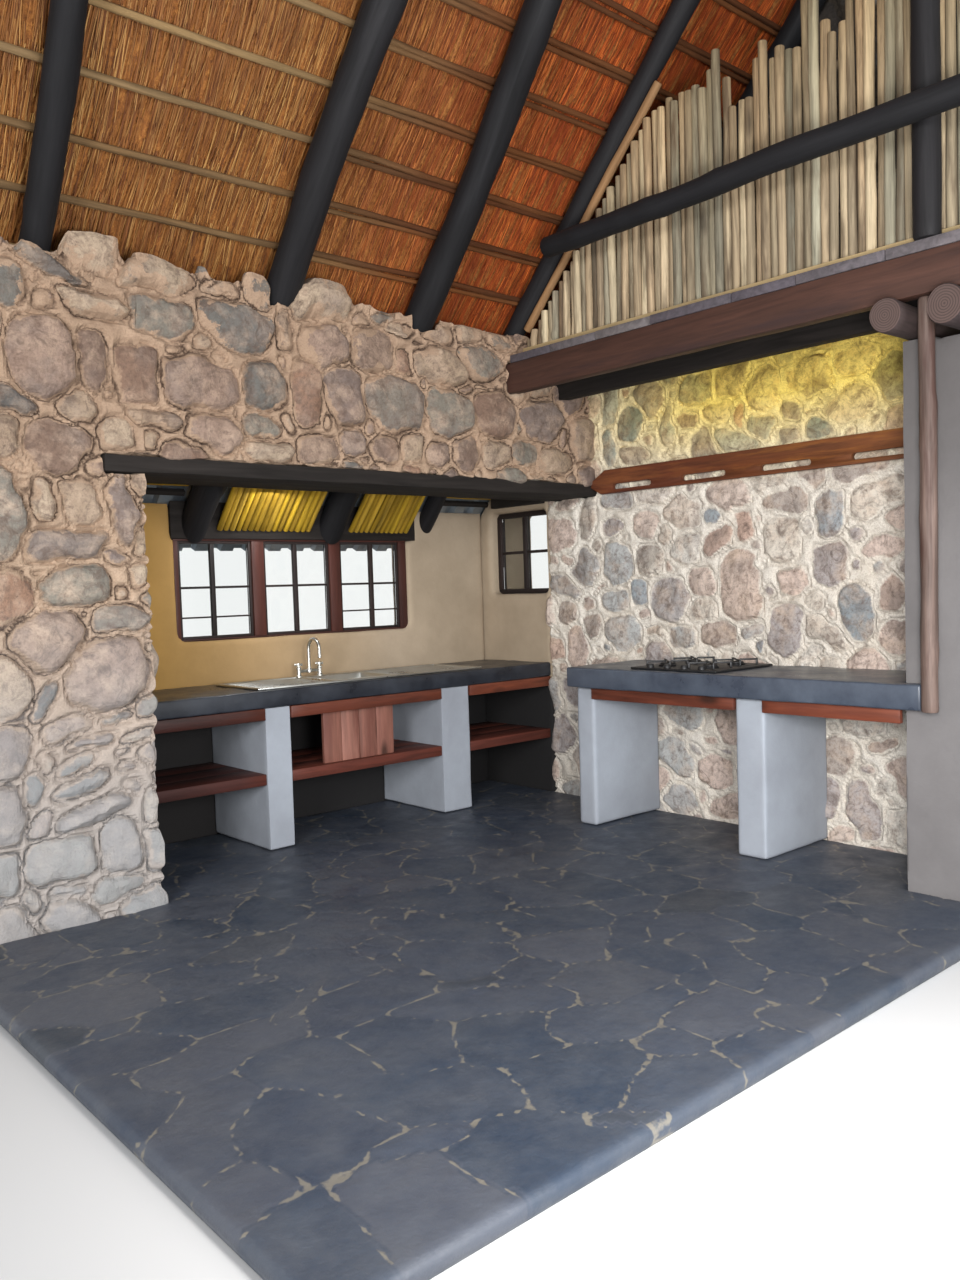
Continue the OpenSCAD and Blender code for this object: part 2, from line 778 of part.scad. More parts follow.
// Mixer tap: two handles on a bridge and a swan neck over the bowl
module tap() {
    pipe_d = 20;
    neck_r = 62;
    base_y = bowl_box[3] + 32;
    base_z = sink_top_h + 12;
    neck_x = bowl_box[0] + 60;
    color("silver") {
        for (side = [-1, 1]) {
            translate([neck_x + side * 75, base_y, base_z]) cylinder(d = 28, h = 62);
            translate([neck_x + side * 75, base_y, base_z + 60]) cylinder(d1 = 44, d2 = 34, h = 26);
        }
        translate([neck_x - 75, base_y, base_z + 40]) rotate([0, 90, 0]) cylinder(d = pipe_d, h = 150);
        translate([neck_x, base_y, base_z + 40]) cylinder(d = pipe_d, h = 130);
        translate([neck_x, base_y - neck_r, base_z + 170])
            rotate([90, 0, 90]) rotate_extrude(angle = 180) translate([neck_r, 0]) circle(d = pipe_d, $fn = 24);
        translate([neck_x, base_y - 2 * neck_r, base_z + 120]) cylinder(d = pipe_d, h = 50);
    }
}

module sink_counter_piers() {
    color("gainsboro")
    for (p = [pier_1, pier_2])
        block([p[0], counter_front + 15, 0], [p[1], y_back - gap, sink_under - gap]);
}

// Clear widths between the piers of the sink counter
sink_bays = [[x_jamb + gap, pier_1[0] - gap], [pier_1[1] + gap, pier_2[0] - gap],
    [pier_2[1] + gap, -gap]];

module sink_counter_aprons() {
    color("sienna")
    for (b = sink_bays)
        block([b[0], counter_front + 5, sink_under - gap - apron_h],
            [b[1], counter_front + 5 + apron_t, sink_under - gap]);
}

module sink_counter_shelves() {
    color("sienna")
    for (b = sink_bays)
        block([b[0], counter_front + 20, shelf_h - shelf_t], [b[1], y_back - gap, shelf_h]);
}

module cupboard_planks() {
    niche = pier_2[0] - pier_1[1];
    plank_x = [pier_1[1] + niche * 0.2194, pier_1[1] + niche * 0.6839];
    planks = 4;
    plank_w = (plank_x[1] - plank_x[0]) / planks;
    color("sienna")
    for (k = [0 : planks - 1])
        block([plank_x[0] + k * plank_w, counter_front + 25 + apron_t + 3 * (k % 2), shelf_h + gap],
            [plank_x[0] + (k + 1) * plank_w - 2, counter_front + 50 + apron_t + 3 * (k % 2),
                sink_under - gap]);
}

module hob_counter_slab() {
    color("slategray")
    difference() {
        block([-hob_slab_depth, hob_slab_right, hob_under], [-gap, hob_slab_left, hob_top_h]);
        block([-plaster_pier_depth - gap, hob_slab_right - gap, hob_under - gap],
            [gap, y_pier + gap, hob_top_h + gap]);
    }
}

module hob_counter_piers() {
    color("gainsboro")
    for (p = hob_piers_y)
        block([-hob_slab_depth + 60, p[1], 0], [-gap, p[0], hob_under - gap]);
}

module hob_counter_aprons() {
    color("sienna")
    for (b = [[hob_piers_y[1][0] + gap, hob_piers_y[0][1] - gap],
            [y_pier + gap, hob_piers_y[1][1] - gap]])
        block([-hob_slab_depth + 40, b[0], hob_under - gap - apron_h],
            [-hob_slab_depth + 40 + apron_t, b[1], hob_under - gap]);
}

module hob() {
    color("black")
    block([hob_box[0], hob_box[1], hob_top_h + gap], [hob_box[2], hob_box[3], hob_top_h + 12]);
}

part() slate_floor();
part() stone_pier_left();
part() stone_wall_over_opening();
part() hob_wall();
part() kitchen_end_wall();
part() kitchen_back_wall();
part() kitchen_side_wall();
part() plaster_pier();
part() opening_lintel();
part() wall_plate();
part() rafter_1();
part() rafter_2();
part() rafter_3();
part() rafter_4();
part() rafter_5();
part() roof_laths();
part() thatch();
part() ridge_cap();
part() ridge_pole();
part() kitchen_ceiling();
part() nook_end_poles();
part() nook_battens();
part() kitchen_roof_sheets();
part() loft_front_beam();
part() loft_joist();
part() loft_floor_boards();
part() loft_gable();
part() loft_sole_strip();
part() loft_screen_poles();
part() screen_edge_pole();
part() loft_handrail();
part() loft_post();
part() bearer_log_1();
part() bearer_log_2();
part() corner_pole();
part() utensil_rail();
part() window_frame();
part() window_lights();
part() window_glass();
part() small_window_frame();
part() small_window_glass();
part() small_window_board();
part() sink_counter_slab();
part() sink();
part() tap();
part() sink_counter_piers();
part() sink_counter_aprons();
part() sink_counter_shelves();
part() cupboard_planks();
part() hob_counter_slab();
part() hob_counter_piers();
part() hob_counter_aprons();
part() hob();
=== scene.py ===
import math
import random

import bmesh
import bpy
import numpy as np
from mathutils import Matrix, Vector, noise


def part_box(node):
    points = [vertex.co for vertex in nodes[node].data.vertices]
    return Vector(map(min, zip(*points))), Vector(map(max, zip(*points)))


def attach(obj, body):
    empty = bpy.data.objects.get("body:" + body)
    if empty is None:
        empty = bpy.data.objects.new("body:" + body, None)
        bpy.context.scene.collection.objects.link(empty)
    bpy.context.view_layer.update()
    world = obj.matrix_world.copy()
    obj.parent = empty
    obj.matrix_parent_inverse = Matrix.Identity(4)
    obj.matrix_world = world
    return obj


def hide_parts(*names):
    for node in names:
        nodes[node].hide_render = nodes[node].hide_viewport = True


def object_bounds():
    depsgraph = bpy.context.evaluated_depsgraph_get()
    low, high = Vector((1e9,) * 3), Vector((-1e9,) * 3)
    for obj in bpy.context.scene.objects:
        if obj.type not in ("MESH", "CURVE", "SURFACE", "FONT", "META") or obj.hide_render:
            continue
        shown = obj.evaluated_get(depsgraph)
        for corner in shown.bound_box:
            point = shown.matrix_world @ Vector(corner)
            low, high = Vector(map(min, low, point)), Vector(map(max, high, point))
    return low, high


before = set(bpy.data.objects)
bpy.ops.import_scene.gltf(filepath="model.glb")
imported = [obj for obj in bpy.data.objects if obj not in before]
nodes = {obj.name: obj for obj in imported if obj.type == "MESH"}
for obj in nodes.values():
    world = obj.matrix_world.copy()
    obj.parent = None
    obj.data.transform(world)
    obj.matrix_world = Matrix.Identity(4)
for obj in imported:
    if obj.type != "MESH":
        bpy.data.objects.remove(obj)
cad_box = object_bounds()
# Without a seed, noise_vector would give another pattern in each run
noise.seed_set(7)

# Setting out, in metres from the corner where the stone wall meets the hob wall
SHIFT = Vector((1.785, 0.725, 0.060))
PITCH = math.radians(46)
SIN, COS, TAN = math.sin(PITCH), math.cos(PITCH), math.tan(PITCH)
ROOF_Z = 3.02
WALL_T = 0.43
WALL_H = 2.95
OPENING_W = 3.03
OPENING_H = 1.993
LINTEL_T = 0.075
Y_BACK = 1.106
Y_RIDGE = -2.535
RAFTER_TOP = 0.075
LATH_D = 0.034
LATH_RUN = 0.183
LATH_H = RAFTER_TOP + LATH_D / 2
THATCH_UNDER = RAFTER_TOP + LATH_D
VERGE_L, VERGE_R = -4.10, 0.53
EAVE_Y = 0.60
# How much higher the loft's sole strip stands than in the CAD, so that it shows over the boards
SOLE_RISE = 0.016
# The glazing bars of the long window: middles of the upright ones, middle of the cross bars and
# the low bar of the outer lights
LIGHT_STILE = 0.016
GLAZING_BAR_X = (-2.143, -1.570, -0.980)
CROSS_BAR_Z = 1.473
LOW_BAR_Z = (1.290, 1.300)
# Rafters from left to right: places over the wall's face, at the wall plate and at the ridge
RAFTER_WALL_X = [-OPENING_W - 0.422, -2.246, -1.362, -0.612, WALL_T / 2]
RAFTER_PLATE_X = [-OPENING_W - 0.390, -2.262, -1.310, -0.525, WALL_T / 2]
RAFTER_RIDGE_X = [-OPENING_W - 0.670, -2.300, -1.590, -0.620, WALL_T / 2]
RAFTER_FOOT_D = [0.134, 0.172, 0.176, 0.120, 0.140]
RAFTER_SWAY = [0.009, -0.014, 0.016, 0.005, -0.008]
RAFTER_END_Y = [0.55, Y_BACK, Y_BACK, Y_BACK, WALL_T]
RAFTER_TIP_D = 0.14
BUTT_RUN = 1.0
# Height where the wall's ragged top course starts, and where its wavy jamb ends
TOP_COURSE_Z = 2.74
JAMB_TOP_Z = 1.90
# Middle of the utensil rail, and how far over and under it the stones lie flat
RAIL_Z = 2.07
RAIL_REACH = 0.13
# Sides, middle and depth of the sink's bowl, and the line that the tap's pillars stand on
BOWL_X = (-1.69, -1.27)
BOWL_Y = 0.715
BOWL_DEPTH = 0.168
TAP_Y = 0.932


def on_slope(x, s, h):
    """Point at s down the slope and h square to it."""
    return (x, s * COS + h * SIN, ROOF_Z - s * SIN + h * COS)


def slope_s(y, h):
    """Distance down the slope of the point at depth y that lies h above the line."""
    return (y - h * SIN) / COS


# Making and handing over meshes


def hand_over(name, mesh, material, slot, *stands_for, smooth=35, shift=True):
    """Puts a mesh in the scene, at the CAD's place, on the one body."""
    if shift:
        mesh.transform(Matrix.Translation(SHIFT))
    mesh.name = name
    mesh.materials.clear()
    mesh.materials.append(material)
    if smooth:
        mesh.shade_smooth()
        mesh.set_sharp_from_angle(angle=math.radians(smooth))
    piece = bpy.data.objects.new(name, mesh)
    bpy.context.scene.collection.objects.link(piece)
    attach(piece, "root")
    if stands_for:
        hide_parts(*stands_for)
    return piece


def to_mesh(bm):
    mesh = bpy.data.meshes.new("part")
    bm.to_mesh(mesh)
    bm.free()
    return mesh


def through_modifiers(mesh, *kinds):
    """A copy of the mesh with modifiers applied, each given as a type and its settings."""
    holder = bpy.data.objects.new("holder", mesh)
    bpy.context.scene.collection.objects.link(holder)
    for kind, settings in kinds:
        modifier = holder.modifiers.new(kind, kind)
        for key, value in settings.items():
            setattr(modifier, key, value)
    depsgraph = bpy.context.evaluated_depsgraph_get()
    made = bpy.data.meshes.new_from_object(holder.evaluated_get(depsgraph))
    bpy.data.objects.remove(holder)
    return made


def remeshed(name, voxel):
    """A CAD node as an even mesh of small faces."""
    return through_modifiers(to_mesh(node_copy(name)), ("REMESH", {"mode": "VOXEL", "voxel_size": voxel}))


def round_over(bm, edges, width, segments):
    return bmesh.ops.bevel(bm, geom=edges, offset=width, offset_type="OFFSET", segments=segments,
                           profile=0.5, affect="EDGES", clamp_overlap=True, material=-1)


def cut(bm, geom, corner, axis, distance):
    """New edges on a plane square to an axis, at a distance from a corner."""
    place, normal = Vector(corner), Vector((0, 0, 0))
    place[axis] += distance
    normal[axis] = 1
    bmesh.ops.bisect_plane(bm, geom=geom, plane_co=place, plane_no=normal)


def whole(bm):
    return bm.verts[:] + bm.edges[:] + bm.faces[:]


def node_copy(name):
    """Merged copy of a CAD node, without the edges between flat triangles."""
    bm = bmesh.new()
    bm.from_mesh(nodes[name].data)
    bmesh.ops.remove_doubles(bm, verts=bm.verts, dist=1e-5)
    bmesh.ops.dissolve_limit(bm, angle_limit=0.02, verts=bm.verts, edges=bm.edges)
    return bm


def solids(name):
    """Corners of each separate solid in a CAD node, from the setting-out corner."""
    bm = node_copy(name)
    found, seen = [], set()
    for start in bm.verts:
        if start in seen:
            continue
        group, front = [], [start]
        seen.add(start)
        while front:
            v = front.pop()
            group.append(v.co - SHIFT)
            for e in v.link_edges:
                other = e.other_vert(v)
                if other not in seen:
                    seen.add(other)
                    front.append(other)
        found.append(np.array(group))
    bm.free()
    return found


def node_box(name):
    """Lowest and highest corner of a CAD node, from the setting-out corner."""
    lo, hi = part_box(name)
    return Vector(lo) - SHIFT, Vector(hi) - SHIFT


def solid_boxes(name):
    """Lowest and highest corner of each solid in a CAD node."""
    return [(Vector(points.min(0)), Vector(points.max(0))) for points in solids(name)]


def read_points(mesh):
    flat = np.empty(len(mesh.vertices) * 3)
    mesh.vertices.foreach_get("co", flat)
    return flat.reshape(-1, 3)


def read_normals(mesh):
    flat = np.empty(len(mesh.vertices) * 3)
    mesh.vertex_normals.foreach_get("vector", flat)
    return flat.reshape(-1, 3)


def write_points(mesh, points):
    mesh.vertices.foreach_set("co", np.ascontiguousarray(points).ravel())
    mesh.update()


def write_attribute(mesh, name, values):
    """Values for each vertex: one number or a vector of three."""
    values = np.ascontiguousarray(values, dtype=np.float32)
    kind, key = ("FLOAT", "value") if values.ndim == 1 else ("FLOAT_VECTOR", "vector")
    mesh.attributes.new(name, kind, "POINT").data.foreach_set(key, values.ravel())


def roughen(mesh, depth, size, bias, seed, stretch=(1, 1, 1)):
    """Moves each vertex along its normal by two octaves of noise."""
    points, normals = read_points(mesh), read_normals(mesh)
    off = Vector((seed * 7.3, seed * 3.1, seed * 5.7))
    moves = []
    for p in points:
        q = Vector((p[0] * stretch[0], p[1] * stretch[1], p[2] * stretch[2])) / size + off
        moves.append(noise.noise(q) + 0.5 * noise.noise(q * 2.3))
    write_points(mesh, points + normals * (np.array(moves)[:, None] * depth + bias))


def weathered(name, source, voxel, depth, size, material, slot, bias, seed):
    """Uneven hand-built body in place of a CAD node."""
    mesh = remeshed(source, voxel)
    roughen(mesh, depth, size, bias, seed)
    write_points(mesh, np.clip(read_points(mesh), cad_box[0], cad_box[1]))
    return hand_over(name, mesh, material, slot, source, smooth=60, shift=False)


def softened(name, source, width, material, slot):
    """CAD node with its sharp edges rounded over."""
    bm = node_copy(source)
    sharp = [e for e in bm.edges if e.calc_face_angle(0) > 0.6]
    round_over(bm, sharp, width, 2)
    add_grain(bm, bm.verts, random.Random(name))
    return hand_over(name, to_mesh(bm), material, slot, source, smooth=30, shift=False)


def grain_layers(bm):
    grain = bm.verts.layers.float_vector.get("grain") or bm.verts.layers.float_vector.new("grain")
    return grain, bm.verts.layers.float.get("tone") or bm.verts.layers.float.new("tone")


def add_grain(bm, verts, rng, axis=None):
    """Gives vertices their place along and across the wood, and a tone for the whole timber."""
    grain, tone = grain_layers(bm)
    verts = list(verts)
    spans = [max(v.co[i] for v in verts) - min(v.co[i] for v in verts) for i in range(3)]
    axis = spans.index(max(spans)) if axis is None else axis
    order = [i for i in range(3) if i != axis] + [axis]
    off = Vector([rng.uniform(0, 9) for _ in range(3)])
    value = rng.random()
    for v in verts:
        v[grain] = Vector([v.co[i] for i in order]) + off
        v[tone] = value


def timber(bm, lo, hi, rng, edge, wave, step=0.15):
    """Sawn timber between two corners, with eased edges and slightly wavy faces."""
    lo, hi = Vector(lo), Vector(hi)
    grain_layers(bm)
    made = bmesh.ops.create_cube(bm, size=1)["verts"]
    bmesh.ops.scale(bm, vec=hi - lo, verts=made)
    bmesh.ops.translate(bm, vec=(lo + hi) / 2, verts=made)
    edges = list({e for v in made for e in v.link_edges})
    made = round_over(bm, edges, edge, 2)["verts"]
    faces = list({f for v in made for f in v.link_faces})
    verts = list({v for f in faces for v in f.verts})
    span = hi - lo
    axis = max(range(3), key=lambda i: span[i])
    count = int(span[axis] / step)
    for k in range(1, count + 1):
        faces = list({f for v in verts for f in v.link_faces})
        edges = list({e for f in faces for e in f.edges})
        verts = list({v for f in faces for v in f.verts})
        cut(bm, verts + edges + faces, lo, axis, span[axis] * k / (count + 1))
    verts = list({v for f in {f for v in verts for f in v.link_faces} for v in f.verts})
    start = rng.uniform(0, 50)
    for v in verts:
        q = v.co * 3 + Vector((start, 0, 0))
        v.co += wave * Vector([noise.noise(q + Vector(off)) for off in ((0, 0, 0), (9, 0, 0), (0, 9, 0))])
    add_grain(bm, verts, rng, axis)
    return verts


def timbers(name, source, boxes, rng, material, slot, edge, wave, step=0.15):
    """A piece with a sawn timber in each box, in place of a CAD node."""
    bm = bmesh.new()
    for lo, hi in boxes:
        timber(bm, lo, hi, rng, edge, wave, step)
    return hand_over(name, to_mesh(bm), material, slot, source)


# Poles and stems: many copies of one turned stick, each put in place along its own line


def sticks(starts, ends, d_start, d_end, seed, sides=12, rings=10, sawn=True, sway=0.0, lump=0.04,
           knots=3, knot=0.08, worn=0.12, nodes_every=0.0, route=None, across=None, radius_at=None):
    """Mesh of round sticks from starts to ends, with knots, sway and sawn ends."""
    starts, ends = np.atleast_2d(np.array(starts, float)), np.atleast_2d(np.array(ends, float))
    count = len(starts)
    rng = np.random.default_rng(seed)
    last = rings + 4 if sawn else rings
    bm = bmesh.new()
    bmesh.ops.create_cone(bm, cap_ends=True, segments=sides, radius1=1, radius2=1, depth=last)
    bmesh.ops.translate(bm, verts=bm.verts, vec=(0, 0, last / 2))
    for k in range(1, last):
        cut(bm, whole(bm), (0, 0, 0), 2, k)
    one = to_mesh(bm)
    size = len(one.vertices)
    mesh = through_modifiers(one, ("ARRAY", {"fit_type": "FIXED_COUNT", "count": count,
                                             "use_relative_offset": False})) if count > 1 else one
    base = read_points(mesh).reshape(count, size, 3)
    ring = np.rint(base[..., 2]).astype(int)
    turn = np.arctan2(base[..., 1], base[..., 0])
    axis = ends - starts
    length = np.linalg.norm(axis, axis=1)
    d_start, d_end = np.broadcast_to(d_start, count), np.broadcast_to(d_end, count)
    inner = np.arange(0, rings + 1) / rings
    if sawn:
        eased = np.minimum(0.2, worn * d_start / length)[:, None]
        inner = eased + (1 - 2 * eased) * inner
        marks = np.concatenate([np.zeros((count, 2)), inner, np.ones((count, 2))], 1)
        spread = np.array([0.02, 1 - worn] + [1] * (rings + 1) + [1 - worn, 0.02])
    else:
        marks = np.repeat(inner[None], count, 0)
        spread = np.ones(rings + 1)
    t = np.take_along_axis(marks, ring, 1)
    along = t * length[:, None]
    w = axis / length[:, None]
    if across is None:
        helper = np.where(np.abs(w[:, 2:3]) < 0.9, [[0, 0, 1.0]], [[1.0, 0, 0]])
        u = np.cross(helper, w)
        u /= np.linalg.norm(u, axis=1)[:, None]
        v = np.cross(w, u)
    else:
        u, v = (np.tile(np.array(side, float), (count, 1)) for side in across)
    radius = (d_start[:, None] * (1 - t) + d_end[:, None] * t) / 2 if radius_at is None else radius_at(t)
    phase = rng.uniform(0, 2 * math.pi, (count, 8))[:, :, None]
    radius = radius * (1 + lump * (0.5 * np.sin(2 * turn + phase[:, 0] + 5 * along)
                                   + 0.3 * np.sin(3 * turn + phase[:, 1] - 9 * along)
                                   + 0.4 * np.sin(phase[:, 2] + 14 * along)))
    for _ in range(knots):
        at = rng.uniform(0.05, 0.95, (count, 1)) * length[:, None]
        side = rng.uniform(0, 2 * math.pi, (count, 1))
        width = 0.35 * d_start[:, None] + 0.008
        radius = radius * (1 + knot * np.exp(-((along - at) / width) ** 2)
                           * np.clip(0.4 + np.cos(turn - side), 0, None))
    if nodes_every:
        beat = np.abs(np.mod(along / nodes_every + phase[:, 7], 1) - 0.5) * nodes_every
        radius = radius * (1 + 0.16 * np.exp(-(beat / 0.012) ** 2))
    radius = radius * spread[ring]
    bend = np.sin(math.pi * t)
    du = sway * bend * (np.sin(phase[:, 3] + 3.1 * along) + 0.4 * np.sin(phase[:, 4] + 8 * along))
    dv = sway * bend * (np.sin(phase[:, 5] + 2.7 * along) + 0.4 * np.sin(phase[:, 6] + 7 * along))
    centre = starts[:, None] + axis[:, None] * t[..., None] if route is None else route(t)
    cu, cv = np.cos(turn) * radius, np.sin(turn) * radius
    write_points(mesh, (centre + u[:, None] * (cu + du)[..., None]
                        + v[:, None] * (cv + dv)[..., None]).reshape(-1, 3))
    off = rng.uniform(0, 9, (count, 1, 3))
    write_attribute(mesh, "grain", (np.stack([cu, cv, along], -1) + off).reshape(-1, 3))
    write_attribute(mesh, "tone", np.repeat(rng.random(count), size))
    write_attribute(mesh, "ring", spread[ring].ravel())
    return mesh


def pole_lines(name, direction):
    """Start and end of the axis of every round pole in a CAD node."""
    direction = np.array(direction, float)
    direction /= np.linalg.norm(direction)
    starts, ends = [], []
    for points in solids(name):
        place = points @ direction
        starts.append(points[place < place.min() + 0.004].mean(0))
        ends.append(points[place > place.max() - 0.004].mean(0))
    return np.array(starts), np.array(ends)


def poles(name, source, direction, d_start, d_end, seed, material, slot, **settings):
    """Round poles along the axes of those in a CAD node."""
    starts, ends = pole_lines(source, direction)
    mesh = sticks(starts, ends, d_start, d_end, seed, **settings)
    return hand_over(name, mesh, material, slot, source)


# Rubble: the wall's own body, with the relief of its stones and joints raised on every face

# Colours of the stones, in the order that their finish has them, and how often each comes among
# the stones laid by rule
PINK, SAND, CREAM, RUST, BROWN, MAUVE, GREY, BLUE, SLATE = range(9)
COLOUR_SHARES = [0.2, 0.2, 0.12, 0.06, 0.12, 0.1, 0.12, 0.05, 0.03]

# Chief stones of the faces towards the room: place along the wall, height,
# half the width, half the height, turn in degrees and colour
WALL_STONES = [
    (-3.24, 2.47, 0.07, 0.12, 4, BROWN), (-3.04, 2.43, 0.10, 0.13, 0, BROWN),
    (-2.73, 2.43, 0.18, 0.11, -6, PINK), (-2.38, 2.45, 0.12, 0.12, 0, BLUE),
    (-2.16, 2.45, 0.09, 0.15, 0, RUST), (-1.91, 2.45, 0.10, 0.15, 8, MAUVE),
    (-1.58, 2.45, 0.18, 0.14, -4, GREY), (-1.20, 2.43, 0.15, 0.13, -14, GREY),
    (-0.84, 2.46, 0.14, 0.14, 24, BROWN), (-0.43, 2.46, 0.17, 0.12, 6, MAUVE),
    (-3.16, 2.16, 0.08, 0.07, 0, CREAM), (-2.95, 2.25, 0.13, 0.05, -8, SAND),
    (-2.67, 2.20, 0.13, 0.09, -10, PINK), (-2.42, 2.26, 0.10, 0.06, 0, GREY),
    (-2.37, 2.13, 0.13, 0.05, 0, CREAM), (-2.09, 2.16, 0.12, 0.07, 0, PINK),
    (-1.86, 2.22, 0.08, 0.07, 0, MAUVE), (-1.66, 2.19, 0.09, 0.08, 0, BROWN),
    (-1.47, 2.21, 0.08, 0.08, 0, SAND), (-1.29, 2.18, 0.08, 0.07, 0, PINK),
    (-1.08, 2.21, 0.10, 0.10, 0, BROWN), (-0.84, 2.22, 0.10, 0.09, 0, SAND),
    (-0.60, 2.23, 0.11, 0.08, 0, GREY), (-0.32, 2.20, 0.12, 0.08, 0, SAND),
    (-2.92, 2.72, 0.15, 0.09, 0, GREY), (-2.54, 2.74, 0.17, 0.11, -18, BLUE),
    (-2.26, 2.75, 0.05, 0.12, 0, SAND), (-2.02, 2.70, 0.14, 0.11, 0, PINK),
    (-1.72, 2.71, 0.13, 0.11, 0, PINK), (-1.51, 2.67, 0.06, 0.08, 0, RUST),
    (-1.26, 2.68, 0.18, 0.10, -8, SAND), (-0.93, 2.75, 0.16, 0.10, 0, GREY),
    (-0.86, 2.60, 0.13, 0.03, 0, CREAM), (-2.93, 2.90, 0.17, 0.07, 4, CREAM),
    (-2.73, 2.95, 0.07, 0.04, 0, BLUE), (-2.60, 2.88, 0.10, 0.06, 0, SAND),
    (-2.42, 2.90, 0.08, 0.08, 0, GREY), (-2.06, 2.90, 0.18, 0.08, 3, CREAM),
    (-1.79, 2.88, 0.06, 0.05, 0, PINK), (-1.67, 2.91, 0.08, 0.04, 0, BLUE),
    (-1.54, 2.86, 0.09, 0.04, -8, CREAM), (-1.26, 2.87, 0.12, 0.06, -6, SAND),
    (-1.02, 2.89, 0.11, 0.06, 0, CREAM), (-0.78, 2.88, 0.12, 0.06, 0, GREY)]
PIER_STONES = [
    (-3.25, 2.94, 0.16, 0.08, -5, CREAM), (-3.40, 2.86, 0.16, 0.05, -22, BLUE),
    (-3.62, 2.76, 0.10, 0.10, 0, BLUE), (-3.22, 2.73, 0.17, 0.06, -8, CREAM),
    (-3.46, 2.47, 0.13, 0.16, 0, PINK), (-3.62, 2.27, 0.11, 0.06, -4, SLATE),
    (-3.42, 2.08, 0.13, 0.11, -8, BROWN), (-3.32, 2.27, 0.08, 0.07, 20, SAND),
    (-3.48, 1.87, 0.05, 0.09, 0, CREAM), (-3.32, 1.84, 0.08, 0.12, 20, SAND),
    (-3.14, 1.83, 0.07, 0.16, 5, MAUVE), (-3.67, 1.79, 0.09, 0.17, 5, GREY),
    (-3.40, 1.66, 0.17, 0.08, 8, MAUVE), (-3.37, 1.48, 0.13, 0.10, 0, GREY),
    (-3.50, 1.25, 0.14, 0.12, 8, PINK), (-3.18, 1.33, 0.13, 0.07, -6, GREY),
    (-3.25, 1.09, 0.17, 0.15, 20, PINK), (-3.66, 1.44, 0.11, 0.10, 25, RUST),
    (-3.53, 0.99, 0.04, 0.09, -28, SLATE), (-3.68, 1.05, 0.09, 0.13, 0, CREAM),
    (-3.43, 0.86, 0.10, 0.05, 14, PINK), (-3.33, 0.79, 0.09, 0.04, 12, MAUVE),
    (-3.22, 0.89, 0.07, 0.03, 8, BLUE), (-3.12, 0.79, 0.08, 0.04, 12, CREAM),
    (-3.41, 0.69, 0.09, 0.04, 18, BLUE), (-3.38, 0.60, 0.12, 0.04, 18, SLATE),
    (-3.70, 0.78, 0.09, 0.12, -20, MAUVE), (-3.59, 0.60, 0.05, 0.08, -18, SLATE),
    (-3.08, 1.68, 0.05, 0.07, 0, SAND), (-3.08, 1.53, 0.05, 0.06, 0, CREAM),
    (-3.17, 1.44, 0.04, 0.04, 0, CREAM), (-3.07, 0.93, 0.06, 0.05, 0, GREY),
    (-3.33, 0.47, 0.16, 0.05, 14, MAUVE), (-3.57, 0.46, 0.06, 0.06, 0, RUST),
    (-3.49, 0.29, 0.14, 0.09, 4, GREY), (-3.23, 0.30, 0.10, 0.11, 0, MAUVE),
    (-3.06, 0.45, 0.04, 0.09, 0, CREAM), (-3.06, 0.26, 0.06, 0.10, 0, GREY),
    (-3.73, 0.27, 0.07, 0.09, 0, GREY), (-3.46, 0.14, 0.08, 0.04, 0, MAUVE),
    (-3.24, 0.11, 0.12, 0.06, 0, GREY)]
HOB_WALL_STONES = [
    (-0.32, 2.41, 0.11, 0.10, 0, SLATE), (-0.61, 2.38, 0.07, 0.12, 0, GREY),
    (-0.97, 2.40, 0.09, 0.08, 0, SAND), (-1.26, 2.26, 0.10, 0.07, 15, GREY),
    (-1.62, 2.22, 0.09, 0.06, 0, SLATE), (-0.13, 2.31, 0.06, 0.12, 0, BLUE),
    (-0.34, 2.22, 0.12, 0.06, 14, BROWN), (0.07, 1.88, 0.07, 0.14, 5, SAND),
    (-0.15, 1.77, 0.08, 0.06, 0, MAUVE), (-0.18, 1.54, 0.11, 0.14, 0, GREY),
    (-0.16, 1.32, 0.11, 0.07, 0, GREY), (-0.36, 1.36, 0.07, 0.08, 0, BLUE),
    (-0.59, 1.31, 0.14, 0.12, 0, MAUVE), (-0.84, 1.41, 0.10, 0.08, 0, PINK),
    (-1.11, 1.38, 0.12, 0.19, -8, RUST), (-0.84, 1.24, 0.09, 0.06, 0, SAND),
    (-0.96, 1.10, 0.12, 0.08, -6, BROWN), (-0.69, 1.08, 0.10, 0.07, 0, GREY),
    (-0.47, 1.10, 0.08, 0.05, 0, SAND), (-0.22, 1.10, 0.13, 0.10, 0, GREY),
    (0.04, 1.15, 0.08, 0.08, 0, BROWN), (-1.68, 1.75, 0.08, 0.12, 0, BLUE),
    (-1.67, 1.49, 0.10, 0.11, 0, MAUVE), (-2.01, 1.31, 0.08, 0.11, 0, RUST),
    (-1.45, 1.40, 0.10, 0.07, 0, PINK), (-0.71, 1.84, 0.12, 0.11, 0, SAND),
    (-1.13, 1.73, 0.07, 0.09, 0, RUST), (-0.43, 1.78, 0.10, 0.08, 0, PINK),
    (-1.40, 1.84, 0.12, 0.08, 0, BROWN), (-0.45, 1.57, 0.10, 0.09, 0, SAND),
    (-0.84, 2.56, 0.12, 0.09, 0, GREY), (-1.55, 2.50, 0.14, 0.10, 0, SAND),
    (-2.02, 2.42, 0.11, 0.12, 0, GREY)]


def wander(points, size, seed):
    """Smooth noise of three components at each point."""
    off = Vector((seed * 3.7, seed * 9.1, seed * 1.3))
    return np.array([noise.noise_vector(Vector(p) / size + off) for p in points])


